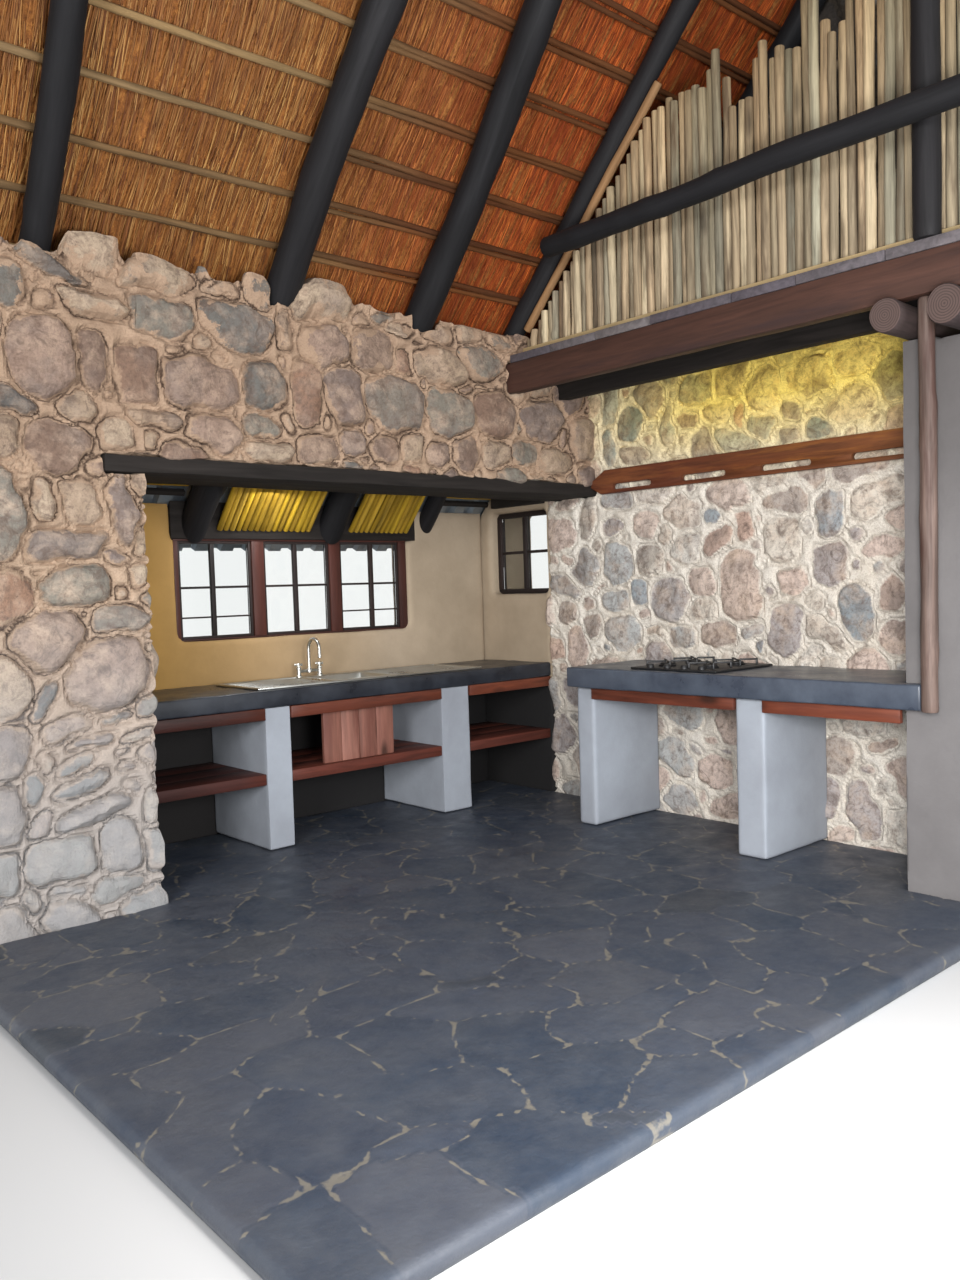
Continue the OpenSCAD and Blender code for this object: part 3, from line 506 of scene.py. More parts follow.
class Stones:
    """The stones of one wall: each a rounded block with its own size, turn, colour and relief."""

    def __init__(self, points, run, chosen, sizes, seed, packing):
        self.run, tries = run, 12000
        rng = np.random.default_rng(seed)
        room = len(chosen) + 1500
        self.middle, self.half, self.turn = np.zeros((room, 3)), np.ones((room, 3)), np.zeros(room)
        self.tone = rng.choice(9, room, p=COLOUR_SHARES).astype(float)
        self.lift = np.zeros(room)
        for k, (along, z, wide, high, turn, colour) in enumerate(chosen):
            self.middle[k, run], self.middle[k, 2] = along, z
            self.half[k] = wide, high, 0.12
            self.turn[k] = math.radians(turn)
            self.tone[k] = colour
            top = z + high - WALL_H
            self.lift[k] = min(max(top, -0.05), 0.09) if top > -0.08 else 0
        count = len(chosen)
        picks = points[rng.integers(0, len(points), tries)]
        radii = np.sort(sizes[0] + (sizes[1] - sizes[0]) * rng.random(tries) ** 1.5)[::-1]
        stretch = np.exp(rng.normal(0.06, 0.2, tries))
        turns = rng.normal(0, 0.35, tries)
        lifts = rng.uniform(-0.035, 0.065, tries)
        for pick, r, wide, turn, lift in zip(picks, radii, stretch, turns, lifts):
            place = self.in_halves(pick - self.middle[:count], slice(0, count), packing * r)
            if count == 0 or (place ** 2).sum(1).min() > 1:
                self.middle[count], self.turn[count] = pick, turn
                self.half[count] = r * wide, r / wide, r
                self.lift[count] = lift * min(max(r / 0.1, 0.3), 1)
                count += 1
                if count == room:
                    break
        for key in ("middle", "half", "turn", "tone", "lift"):
            setattr(self, key, getattr(self, key)[:count])
        self.box = rng.uniform(0.2, 1.7, count)
        size = np.sqrt(self.half[:, 0] * self.half[:, 1])
        self.proud = rng.uniform(0.5, 1.25, count) * np.clip(size / 0.1, 0.6, 1.25)
        self.proud *= np.where(self.half[:, 0] > 2 * self.half[:, 1], 1.4, 1)
        self.tone = (self.tone + 0.5 + rng.uniform(-0.3, 0.3, count)) / 9
        self.tilt = rng.uniform(-0.2, 0.2, (count, 3))
        self.push = rng.uniform(-0.015, 0.03, count)
        self.rng = rng

    def in_halves(self, offsets, which, more, grown=1.0):
        """Offsets along, up and through each stone, counted in its half sizes."""
        cos, sin = np.cos(self.turn[which]), np.sin(self.turn[which])
        along = offsets[..., self.run] * cos + offsets[..., 2] * sin
        up = offsets[..., 2] * cos - offsets[..., self.run] * sin
        return np.stack([along, up, offsets[..., 1 - self.run]], -1) / (self.half[which] * grown + more)

    def relief(self, points, seed, bend, round_off=0.005, grown=1.3):
        """For each point: the stone it is on and its distance in from that stone's edge."""
        warped = points + bend * wander(points, 0.13, seed) + bend * 0.4 * wander(points, 0.04, seed + 1)
        stone, edge = np.empty(len(points), int), np.empty(len(points))
        order = np.argsort(points[:, self.run])
        for a in range(0, len(points), 2500):
            chunk = order[a:a + 2500]
            part = warped[chunk]
            low, high = part[:, self.run].min() - 0.4, part[:, self.run].max() + 0.4
            near = np.flatnonzero((self.middle[:, self.run] > low) & (self.middle[:, self.run] < high))
            squares = self.in_halves(part[:, None] - self.middle[near][None], near, 0.0, grown) ** 2
            total = squares.sum(2)
            fourth = (squares ** 2).sum(2)
            # Between a rounded box and an ellipsoid
            reach = (fourth + self.box[near] * (total ** 2 - fourth) / 2) ** 0.25
            slope = np.sqrt((squares / (self.half[near] * grown) ** 2).sum(2)) + 1e-6
            inside = (1 - reach) * np.sqrt(total) / slope
            rows = np.arange(len(part))
            own = inside.argmax(1)
            best = inside[rows, own]
            gap = (best[:, None] - inside) / 2
            gap[rows, own] = best
            nearest = gap.min(1)
            # Corners where several joints meet are rounded off
            spare = np.exp(np.clip((nearest[:, None] - gap) / round_off, -30, 0)).sum(1)
            edge[chunk] = nearest - round_off * np.log(spare)
            stone[chunk] = near[own]
        return stone, edge


def stone_body(source, voxel):
    """Remeshed CAD node, with its points from the setting-out corner."""
    mesh = remeshed(source, voxel)
    return mesh, read_points(mesh) - np.array(SHIFT)


def rubble(name, source, body, stones, material, seed, crown=0.038, flush=0.5, shape=None):
    """Stone wall in place of a CAD node, with every stone and joint in relief."""
    mesh, points = body
    normals = read_normals(mesh)
    # Both parts of the kitchen wall are raised alike where they meet, with a small overlap
    beside = (np.abs(points[:, 0] + OPENING_W) < 0.02) & (points[:, 2] > OPENING_H + 0.5 * LINTEL_T)
    normals[beside, 0] = 0
    normals[beside] /= np.linalg.norm(normals[beside], axis=1)[:, None] + 1e-6
    over = np.where(beside, 0.010 * np.sign(-OPENING_W - points[:, 0].mean()), 0)
    stone, edge = stones.relief(points, seed, 0.02)
    edge -= 0.010 * (1 + 0.6 * wander(points, 0.2, seed + 7)[:, 0])
    dome = stones.proud[stone] * (1 - np.exp(-np.clip(edge, 0, None) / 0.026))
    bead = flush * (1 - np.exp(-np.clip(-edge, 0, None) / 0.012))
    groove = 0.35 * np.exp(-(edge / 0.009) ** 2)
    lean = (stones.tilt[stone] * (points - stones.middle[stone])).sum(1) * np.clip(edge / 0.02, 0, 1)
    broad = wander(points, 0.35, seed + 2)[:, 0] * 0.014 + wander(points, 0.06, seed + 3)[:, 0] * 0.009
    move = normals * (crown * (dome + bead - groove - 0.4) + np.clip(lean, -0.026, 0.026) + broad)[:, None]
    if shape is not None:
        move = shape(points, move, stones, stone, np.clip(edge, 0, None))
    move[:, 0] += over
    write_points(mesh, np.clip(points + move + np.array(SHIFT), cad_box[0], cad_box[1]))
    write_attribute(mesh, "edge", edge)
    write_attribute(mesh, "tone", stones.tone[stone])
    return hand_over(name, mesh, material, "rubble_stone", source, smooth=0, shift=False)


# Materials


class Finish:
    """A material and short ways to build its node tree."""

    def __init__(self, name, rough=0.7, **sockets):
        self.material = bpy.data.materials.new(name)
        self.material.use_nodes = True
        self.tree = self.material.node_tree
        self.shader = self.tree.nodes["Principled BSDF"]
        self.shader.inputs["Roughness"].default_value = rough
        for key, value in sockets.items():
            self.shader.inputs[key.replace("_", " ")].default_value = value

    def add(self, kind, settings=None, **inputs):
        made = self.tree.nodes.new("ShaderNode" + kind)
        for key, value in (settings or {}).items():
            setattr(made, key, value)
        for key, value in inputs.items():
            self.feed(made.inputs[key.replace("_", " ")], value)
        return made

    def feed(self, socket, value):
        if isinstance(value, bpy.types.NodeSocket):
            self.tree.links.new(value, socket)
        else:
            socket.default_value = value

    def place(self, scale=(1, 1, 1), attribute=None, turn=(0, 0, 0)):
        """Object coordinates, or an attribute, scaled for a pattern."""
        if attribute:
            source = self.add("Attribute", {"attribute_name": attribute}).outputs["Vector"]
        else:
            source = self.add("TexCoord").outputs["Object"]
        return self.add("Mapping", Vector=source, Scale=scale, Rotation=turn).outputs["Vector"]

    def value(self, attribute):
        return self.add("Attribute", {"attribute_name": attribute}).outputs["Fac"]

    def along(self, axis):
        """Place along an axis, from the middle of the part on the ground."""
        return self.add("SeparateXYZ", Vector=self.add("TexCoord").outputs["Object"]).outputs[axis]

    def noise(self, vector, scale, detail=4, roughness=0.55, distortion=0.0):
        return self.add("TexNoise", Vector=vector, Scale=scale, Detail=detail, Roughness=roughness,
                        Distortion=distortion).outputs["Fac"]

    def ramp(self, factor, *stops):
        made = self.add("ValToRGB", Fac=factor)
        band = made.color_ramp
        while len(band.elements) < len(stops):
            band.elements.new(0.5)
        for element, (position, colour) in zip(band.elements, stops):
            element.position = position
            element.color = (*colour, 1) if len(colour) == 3 else colour
        return made.outputs["Color"]

    def mix(self, factor, a, b, blend="MIX"):
        made = self.add("Mix", {"data_type": "RGBA", "blend_type": blend})
        for socket, value in zip((made.inputs[0], made.inputs[6], made.inputs[7]), (factor, a, b)):
            if not isinstance(value, bpy.types.NodeSocket) and not isinstance(value, (int, float)):
                value = (*value, 1)
            self.feed(socket, value)
        return made.outputs[2]

    def maths(self, operation, a, b=0.5, clamp=False):
        made = self.add("Math", {"operation": operation, "use_clamp": clamp})
        self.feed(made.inputs[0], a)
        self.feed(made.inputs[1], b)
        return made.outputs[0]

    def product(self, first, *others):
        for other in others:
            first = self.maths("MULTIPLY", first, other)
        return first

    def range(self, value, a, b, c=0.0, d=1.0):
        made = self.add("MapRange")
        keys = ("Value", "From Min", "From Max", "To Min", "To Max")
        for key, given in zip(keys, (value, a, b, c, d)):
            self.feed(made.inputs[key], given)
        return made.outputs["Result"]

    def cover(self, base, colour, vector, pattern, limits):
        """Another colour over the base, in patches of a noise pattern."""
        return self.mix(self.range(self.noise(vector, *pattern), *limits), base, colour)

    def bump(self, height, strength, distance, under=None):
        made = self.add("Bump", Strength=strength, Distance=distance, Height=height)
        if under is not None:
            self.tree.links.new(under, made.inputs["Normal"])
        return made.outputs["Normal"]

    def done(self, colour, rough=None, normal=None):
        for key, value in (("Base Color", colour), ("Roughness", rough), ("Normal", normal)):
            if value is not None:
                self.feed(self.shader.inputs[key], (*value, 1) if isinstance(value, tuple) else value)
        return self.material


def srgb(r, g, b):
    """Colour written as 0 to 255 in display values."""
    def one(c):
        c /= 255
        return c / 12.92 if c <= 0.04045 else ((c + 0.055) / 1.055) ** 2.4
    return (one(r), one(g), one(b))


def stone_finish(name, tones, mortar_light, mortar_dark, tint, smear=0.5, line=0.8):
    """Stones that change colour from one to the next, in mortar with a broken dark line round each: painted
    shade in the joint grooves.
    """
    f = Finish(name, 0.88)
    at = f.place()
    stops = [((i + 0.5) / len(tones), c) for i, c in enumerate(tones)]
    base = f.ramp(f.value("tone"), *stops)
    base = f.cover(base, srgb(206, 182, 160), at, (7, 7, 0.66, 0.4), (0.46, 0.7, 0.0, 0.7))
    base = f.cover(base, srgb(124, 114, 110), at, (4.1, 6, 0.62), (0.5, 0.7, 0.0, 0.65))
    base = f.cover(base, srgb(110, 88, 76), at, (19, 7, 0.7), (0.28, 0.5, 0.7, 0.0))
    base = f.cover(base, srgb(92, 76, 68), at, (12, 9, 0.75, 1.4), (0.36, 0.50, 0.65, 0.0))
    base = f.cover(base, srgb(92, 76, 66), at, (70, 4, 0.7), (0.3, 0.52, 0.4, 0.0))
    paste = f.ramp(f.noise(at, 4, 8, 0.68), (0.3, mortar_dark), (0.68, mortar_light))
    paste = f.cover(paste, srgb(140, 114, 94), at, (120, 3, 0.7), (0.34, 0.55, 0.4, 0.0))
    edge = f.value("edge")
    ragged = f.maths("ADD", edge, f.range(f.noise(at, 26, 5, 0.7), 0.3, 0.7, -0.006, 0.006))
    high = f.range(f.along("Z"), 2.55, 2.85, 0.4, 1.5)
    daubed = f.maths("MULTIPLY", f.range(f.noise(at, 6, 6, 0.65), 0.46, 0.72, 0.0, -0.06 * smear), high)
    base = f.mix(f.range(f.maths("ADD", ragged, daubed), 0.0, 0.010, 1.0, 0.0), base, paste)
    # The broken dark line round each stone is painted shade, where the groove beside the stone would lie in
    # shadow
    width = f.range(f.noise(at, 6, 4, 0.6), 0.36, 0.62, 0.0006, 0.0074)
    groove = f.maths("SUBTRACT", 1.0, f.maths("DIVIDE", f.maths("ABSOLUTE", ragged), width), True)
    seen = f.range(f.noise(at, 4.2, 4, 0.6), 0.40, 0.56, 0.0, line)
    base = f.mix(f.maths("MULTIPLY", groove, seen), base, srgb(82, 60, 46))
    base = tint(f, base)
    bumped = f.bump(f.maths("MULTIPLY", groove, f.maths("MULTIPLY", seen, -1.0)), 0.9, 0.008)
    bumped = f.bump(f.noise(at, 20, 9, 0.70, 0.2), 0.9, 0.018, bumped)
    bumped = f.bump(f.noise(at, 130, 4, 0.6), 0.4, 0.002, bumped)
    return f.done(base, None, bumped)


def mortar_finish(name, light, dark):
    """Trowelled mortar, mottled and lumpy."""
    f = Finish(name, 0.95)
    at = f.place()
    base = f.ramp(f.noise(at, 4, 8, 0.7), (0.3, dark), (0.7, light))
    base = f.cover(base, srgb(120, 95, 70), at, (110, 3, 0.7), (0.35, 0.75, 0.4, 0.0))
    lumps = f.bump(f.noise(at, 14, 9, 0.72, 0.4), 0.9, 0.012)
    lumps = f.bump(f.noise(at, 180, 3, 0.6), 0.4, 0.0015, lumps)
    return f.done(base, None, lumps)


def wood_finish(name, tones, rough, grain=26, dark=0.55, streak=None, coat=0.0, knots=0.0, sawn_end=None,
                tint=None):
    """Wood with fibres along each timber, and a tone for each timber between the given colours."""
    f = Finish(name, rough, Coat_Weight=coat, Coat_Roughness=0.35, Specular_IOR_Level=0.3)
    at = f.place((grain, grain, 2.0), "grain")
    stops = [(i / max(1, len(tones) - 1), c) for i, c in enumerate(tones)]
    base = f.ramp(f.value("tone"), *stops) if len(stops) > 1 else None
    fibre = f.noise(at, 1.0, 6, 0.62, 0.6)
    cloud = f.noise(f.place((5, 5, 1.6), "grain"), 1.0, 3)
    shade = f.maths("ADD", f.range(fibre, 0.3, 0.7, dark, 1.12), f.range(cloud, 0.3, 0.7, -0.12, 0.12))
    colour = f.add("VectorMath", {"operation": "SCALE"})
    if base is None:
        colour.inputs[0].default_value = tones[0]
    else:
        f.tree.links.new(base, colour.inputs[0])
    f.tree.links.new(shade, colour.inputs["Scale"])
    base = colour.outputs[0]
    if streak:
        base = f.cover(base, streak, f.place((9, 9, 0.9), "grain"), (1.0, 5, 0.7), (0.5, 0.66))
    if knots:
        spots = f.add("TexVoronoi", Vector=f.place((5, 5, 1.7), "grain"), Scale=1.0).outputs["Distance"]
        base = f.mix(f.range(spots, 0.16, 0.06, 0.0, knots), base, (0.012, 0.008, 0.006))
    if sawn_end:
        ring = f.value("ring")
        rings = f.maths("SINE", f.maths("MULTIPLY", ring, 46.0))
        face = f.mix(f.range(rings, -0.4, 0.9, 0.0, 0.6), sawn_end, (0.02, 0.015, 0.012))
        base = f.mix(f.range(ring, 0.955, 0.945), base, face)
    if tint:
        base = tint(f, base)
    fine = f.bump(fibre, 0.5, 0.003)
    fine = f.bump(f.noise(f.place((90, 90, 7), "grain"), 1.0, 3), 0.3, 0.0012, fine)
    return f.done(base, f.range(fibre, 0.3, 0.7, rough + 0.1, rough - 0.08), fine)


def plaster_finish(name, light, dark, wash=None):
    """Hand-floated plaster in two tones."""
    f = Finish(name, 0.9)
    at = f.place()
    base = f.ramp(f.noise(at, 1.6, 7, 0.62), (0.3, dark), (0.72, light))
    base = f.cover(base, dark, at, (7, 6, 0.7), (0.5, 0.8, 0.0, 0.3))
    if wash:
        base = wash(f, base)
    soft = f.bump(f.noise(at, 6, 5, 0.6), 0.5, 0.01)
    soft = f.bump(f.noise(at, 70, 6, 0.6), 0.35, 0.0015, soft)
    return f.done(base, None, soft)


def painted_light_and_shade(colour, axis, start, stop, strength=1.0):
    """Painted light and shade: a wash of colour that grows along one axis of the room."""
    def wash(f, base):
        return f.mix(f.range(f.along(axis), start, stop, 0.0, strength), base, colour, "MULTIPLY")
    return wash


def both(*washes):
    """Several washes, one over the other."""
    def wash(f, base):
        for one in washes:
            base = one(f, base)
        return base
    return wash


def painted_daylight_foot(f, base):
    """Cooler and paler stone and mortar near the floor: painted cool daylight."""
    return f.mix(f.range(f.along("Z"), 1.5, 0.5, 0.0, 0.6), base, srgb(173, 175, 177))


def lamp_yellow(f, base):
    """Yellow light from under the loft, on the face towards the room."""
    lit = f.product(f.range(f.along("Z"), 2.02, 2.50), f.range(f.along("Y"), 0.7, -0.2, 0.4),
                    f.range(f.along("X"), 1.92, 1.86))
    return f.mix(lit, base, (1.16, 0.95, 0.24), "MULTIPLY")


def nook_washes(f, base):
    """Inside the nook: painted yellow light toward the left end, and near-black below the sink counter."""
    inside = f.product(f.range(f.along("X"), -1.36, -1.32), f.range(f.along("X"), 1.90, 1.86),
                       f.range(f.along("Y"), 1.93, 1.89))
    lit = f.product(inside, f.range(f.along("X"), 0.9, -1.0))
    base = f.mix(lit, base, (0.94, 0.64, 0.14), "MULTIPLY")
    # Near-black on the walls below the sink counter
    near_black_below = f.product(inside, f.range(f.along("Z"), 0.845, 0.835, 0.0, 0.99))
    return f.mix(near_black_below, base, srgb(16, 16, 19))


stone_colours = [srgb(158, 136, 122), srgb(166, 146, 124), srgb(190, 172, 150), srgb(158, 124, 102),
                 srgb(130, 108, 94), srgb(130, 116, 110), srgb(132, 128, 118), srgb(114, 114, 110),
                 srgb(96, 97, 96)]
hob_colours = [srgb(214, 194, 182), srgb(218, 208, 194), srgb(228, 223, 213), srgb(200, 172, 156),
               srgb(182, 170, 160), srgb(178, 170, 168), srgb(190, 190, 187), srgb(162, 170, 175),
               srgb(138, 146, 150)]
# Paler and cooler near the floor, and darker toward the top: painted daylight and painted shade
wall_stone = stone_finish("pink and grey rubble", stone_colours, srgb(194, 168, 144), srgb(164, 140, 118),
                          both(painted_daylight_foot, painted_light_and_shade((0.84, 0.80, 0.77), "Z", 1.7, 2.4)), 1.1, 1.0)
# The yellow toward the top of this face is painted lamp light
hob_stone = stone_finish("pale rubble, lamp yellow painted at the top", hob_colours, srgb(237, 231, 220), srgb(217, 208, 194),
                         lamp_yellow, 0.6, 0.35)
# Near-black on the loft side: painted shade of the unlit loft
gable_stone = stone_finish("rubble, painted shade on the loft side", hob_colours, srgb(196, 176, 146),
                           srgb(168, 146, 116), painted_light_and_shade((0.07, 0.065, 0.06), "X", 2.112, 2.100))
cap_mortar = mortar_finish("ridge mortar", srgb(172, 166, 156), srgb(138, 132, 124))
nook_plaster = plaster_finish("nook plaster", srgb(180, 162, 140), srgb(152, 136, 115), nook_washes)
pier_plaster = plaster_finish("pier plaster", srgb(162, 168, 177), srgb(140, 144, 152))
# Darker toward the top: painted shade
corner_plaster = plaster_finish("grey corner plaster", srgb(117, 114, 114), srgb(99, 96, 96),
                                painted_light_and_shade((0.52, 0.50, 0.49), "Z", 1.1, 2.5))

blue_black = wood_finish("blue-black stained poles",
                         [srgb(26, 24, 26), srgb(21, 21, 24), srgb(31, 29, 31)], 0.7)
# Redder and darker toward the right: painted warm lamp light
lath_wood = wood_finish("weathered laths",
                        [srgb(146, 118, 78), srgb(126, 102, 70), srgb(108, 82, 52)], 0.8,
                        dark=0.6, tint=painted_light_and_shade((0.55, 0.30, 0.18), "X", -0.75, 0.2))
edge_wood = wood_finish("brown sapling", [srgb(148, 112, 76)], 0.75)
lintel_wood = wood_finish("black stained timber", [srgb(38, 33, 30), srgb(31, 27, 25)], 0.85, dark=0.5)
beam_wood = wood_finish("dark brown beam", [srgb(86, 58, 46), srgb(72, 48, 40)], 0.6,
                        streak=srgb(52, 36, 34))
board_wood = wood_finish("grey boards", [srgb(94, 88, 92), srgb(78, 72, 80), srgb(110, 104, 104)], 0.7)
strip_wood = wood_finish("raw strip", [srgb(186, 162, 120)], 0.8, dark=0.75)
# Warmer and a little darker toward the top: painted lamp light
screen_wood = wood_finish("peeled screen poles",
                          [srgb(210, 188, 154), srgb(136, 124, 102), srgb(186, 162, 130),
                           srgb(122, 118, 102), srgb(216, 198, 164), srgb(152, 126, 98),
                           srgb(172, 166, 144), srgb(98, 88, 74)],
                          0.8, grain=40, dark=0.36, streak=srgb(92, 78, 62), knots=0.6,
                          tint=painted_light_and_shade((1.0, 0.86, 0.66), "Z", 3.2, 4.2, 0.8))
ceiling_wood = wood_finish("golden ceiling poles",
                           [srgb(206, 168, 46), srgb(160, 126, 30), srgb(190, 154, 54)], 0.65, dark=0.38)
# Darker toward the sink end: painted shade
red_wood = wood_finish("red-brown timber", [srgb(126, 67, 47), srgb(98, 50, 36), srgb(115, 62, 45)], 0.42,
                       dark=0.45, coat=0.25, streak=srgb(92, 46, 34), knots=0.75,
                       tint=painted_light_and_shade((0.42, 0.38, 0.42), "X", -0.2, -0.6))
cupboard_wood = wood_finish("pale red-brown planks",
                            [srgb(160, 112, 98), srgb(134, 88, 76), srgb(148, 100, 86)], 0.5, dark=0.5,
                            coat=0.1, streak=srgb(112, 70, 60), knots=0.75)
# Darker toward the sink end: painted shade
shelf_wood = wood_finish("red-brown shelf boards", [srgb(112, 56, 42), srgb(92, 46, 36)], 0.6, dark=0.5,
                         coat=0.05, tint=painted_light_and_shade((0.36, 0.38, 0.46), "X", -0.2, -0.6))
# Brighter and yellower toward the front: painted lamp light
rail_wood = wood_finish("varnished rail", [srgb(94, 48, 33), srgb(86, 43, 30)], 0.55, dark=0.45, coat=0.1,
                        streak=srgb(120, 70, 40), tint=painted_light_and_shade((1.55, 1.8, 0.8), "Y", 0.4, -1.2))
frame_wood = wood_finish("red-brown window timber", [srgb(80, 42, 34), srgb(66, 36, 30)], 0.55, dark=0.6,
                         coat=0.1)
light_wood = wood_finish("black window timber", [srgb(36, 29, 28), srgb(46, 34, 31)], 0.6, dark=0.6)
log_wood = wood_finish("grey-brown logs", [srgb(66, 54, 52), srgb(56, 46, 46)], 0.75,
                       sawn_end=srgb(82, 66, 62))
corner_wood = wood_finish("grey-brown corner pole", [srgb(108, 90, 82)], 0.6, dark=0.4, grain=40,
                          streak=srgb(66, 44, 38))


# A turn of the pattern that makes it run down the slope
DOWN_SLOPE = (PITCH - math.pi / 2, 0, 0)


def stem_finish(name, tones):
    """Thatching grass, each stem with its own tone, and redder toward the right from painted warm lamp
    light.
    """
    f = Finish(name, 0.75)
    stops = [(i / (len(tones) - 1), c) for i, c in enumerate(tones)]
    base = f.ramp(f.value("tone"), *stops)
    base = f.cover(base, srgb(120, 66, 26), f.place(), (2.2, 4, 0.6), (0.4, 0.72, 0.0, 0.65))
    # Redder toward the right: painted warm lamp light
    base = f.mix(f.range(f.along("X"), -0.7, 0.9, 0.0, 0.8), base, (1.6, 0.58, 0.16), "MULTIPLY")
    return f.done(f.cover(base, srgb(96, 54, 24), f.place((120, 120, 6), "grain"), (1.0, 3),
                          (0.35, 0.7, 0.35, 0.0)))


def coat_finish(name, tones, patches, streaks):
    """Weathered outside of the thatch."""
    f = Finish(name, 0.75)
    fibre = f.noise(f.place((34, 34, 1.6), turn=DOWN_SLOPE), 1.0, 7, 0.7, 0.4)
    base = f.ramp(fibre, *zip((0.25, 0.5, 0.75), tones))
    base = f.cover(base, patches, f.place(), (1.2, 4, 0.6), (0.35, 0.7, 0.0, 0.6))
    base = f.cover(base, streaks, f.place((9, 9, 0.7), turn=DOWN_SLOPE), (1.0, 5, 0.6),
                   (0.35, 0.6, 0.55, 0.0))
    return f.done(base, None, f.bump(fibre, 0.9, 0.02))


def lining_finish(name, tones):
    """Underside of the thatch, behind the stems."""
    f = Finish(name, 0.8)
    fibre = f.noise(f.place((60, 60, 2.2), turn=DOWN_SLOPE), 1.0, 7, 0.7)
    return f.done(f.ramp(fibre, *zip((0.3, 0.5, 0.72), tones)), None, f.bump(fibre, 0.9, 0.01))


stem_straw = stem_finish("golden thatching grass",
                         [srgb(126, 70, 21), srgb(165, 109, 45), srgb(76, 35, 9), srgb(143, 88, 29),
                          srgb(208, 160, 92), srgb(102, 51, 14)])
coat_straw = coat_finish("weathered thatch", [srgb(96, 82, 62), srgb(136, 118, 90), srgb(168, 150, 118)],
                         srgb(122, 110, 92), srgb(84, 70, 52))
under_straw = lining_finish("thatch lining", [srgb(96, 54, 22), srgb(150, 92, 38), srgb(190, 130, 62)])


def simple_finish(name, light, dark, rough, scale, bump_scale, depth, metallic=0.0):
    """Mottled surface between two tones, with fine bumps."""
    f = Finish(name, rough, Metallic=metallic)
    at = f.place()
    mottle = f.noise(at, scale, 7, 0.65)
    base = f.ramp(mottle, (0.3, dark), (0.72, light))
    return f.done(base, f.range(mottle, 0.3, 0.7, rough - 0.1, rough + 0.12),
                  f.bump(f.noise(at, bump_scale, 6, 0.6), 0.4, depth))


def slate_finish(name):
    """Slabs that change tone from one to the next, with pale joints."""
    f = Finish(name, 0.5)
    at = f.place()
    base = f.ramp(f.value("tone"), (0, srgb(42, 54, 70)), (0.3, srgb(58, 66, 80)),
                  (0.55, srgb(48, 57, 72)), (0.8, srgb(68, 73, 84)), (1, srgb(42, 51, 62)))
    base = f.cover(base, srgb(92, 94, 98), at, (5, 8, 0.7), (0.35, 0.75, 0.0, 0.5))
    ragged = f.maths("ADD", f.value("edge"), f.range(f.noise(at, 40, 4), 0.3, 0.7, -0.003, 0.003))
    base = f.mix(f.range(ragged, 0.0, 0.003, 1.0, 0.0), base, srgb(112, 108, 100))
    return f.done(base, f.range(f.noise(at, 9, 5), 0.3, 0.7, 0.35, 0.65),
                  f.bump(f.noise(at, 8, 9, 0.7), 0.7, 0.01))


slab_cement = simple_finish("polished blue-black cement", srgb(50, 54, 62), srgb(28, 30, 36),
                            0.34, 5, 60, 0.002)
hob_cement = simple_finish("polished slate-blue cement", srgb(80, 88, 100), srgb(54, 60, 72),
                           0.34, 5, 60, 0.002)
steel = simple_finish("brushed steel", srgb(198, 198, 192), srgb(186, 186, 182), 0.32, 4, 300, 0.0001, 1.0)
sheet_metal = simple_finish("galvanised sheet", srgb(176, 186, 194), srgb(132, 142, 152),
                            0.45, 3, 40, 0.001, 0.85)
black_iron = simple_finish("matt black iron", srgb(34, 34, 36), srgb(20, 20, 22),
                           0.5, 30, 200, 0.0006, 0.2)
slate = slate_finish("riven slate")
glass = Finish("window glass", 0.02, Transmission_Weight=1.0, IOR=1.45).done((0.93, 0.96, 0.95))

# Stone walls


def wall_shape(points, move, stones, stone, inward):
    """Ragged top course, clear of the rafters, and a wavy jamb."""
    near_top = np.clip((points[:, 2] - TOP_COURSE_Z) / 0.16, 0, 1) * (points[:, 1] < 0.2)
    clear = np.ones(len(points))
    for i in range(len(RAFTER_WALL_X)):
        away = np.abs(points[:, 0] - RAFTER_WALL_X[i]) - RAFTER_FOOT_D[i] / 2 - 0.01
        clear *= np.clip(away / 0.04, 0, 1)
    move[:, 2] += stones.lift[stone] * near_top * clear * np.clip(inward / 0.015, 0.2, 1)
    jamb = np.clip((points[:, 0] + OPENING_W + 0.12) / 0.12, 0, 1) * (points[:, 2] < JAMB_TOP_Z)
    move[:, 0] += jamb * stones.push[stone] * np.clip(inward / 0.015, 0, 1)
    return move


def hob_wall_shape(points, move, *_):
    """Flat stones behind the utensil rail."""
    behind = np.clip((RAIL_REACH - np.abs(points[:, 2] - RAIL_Z)) / 0.04, 0, 1) * (points[:, 0] < 0.2)
    move[:, 0] += behind * (np.maximum(move[:, 0], 0.004) - move[:, 0])
    return move


def walls():
    pier, wall = stone_body("stone_pier_left", 0.0125), stone_body("stone_wall_over_opening", 0.0110)
    stones = Stones(np.vstack([pier[1], wall[1]]), 0, WALL_STONES + PIER_STONES, (0.032, 0.14), 8, 0.92)
    rubble("pier_rubble", "stone_pier_left", pier, stones, wall_stone, 3, shape=wall_shape)
    rubble("wall_rubble", "stone_wall_over_opening", wall, stones, wall_stone, 3, shape=wall_shape)
    hob_body, gable_body = stone_body("hob_wall", 0.0160), stone_body("loft_gable", 0.0200)
    stones = Stones(hob_body[1], 1, HOB_WALL_STONES, (0.035, 0.12), 12, 0.92)
    rubble("hob_wall_rubble", "hob_wall", hob_body, stones, hob_stone, 12, crown=0.016, flush=0.75,
           shape=hob_wall_shape)
    stones = Stones(gable_body[1], 1, [], (0.05, 0.13), 21, 0.92)
    rubble("gable_rubble", "loft_gable", gable_body, stones, gable_stone, 21, crown=0.014)


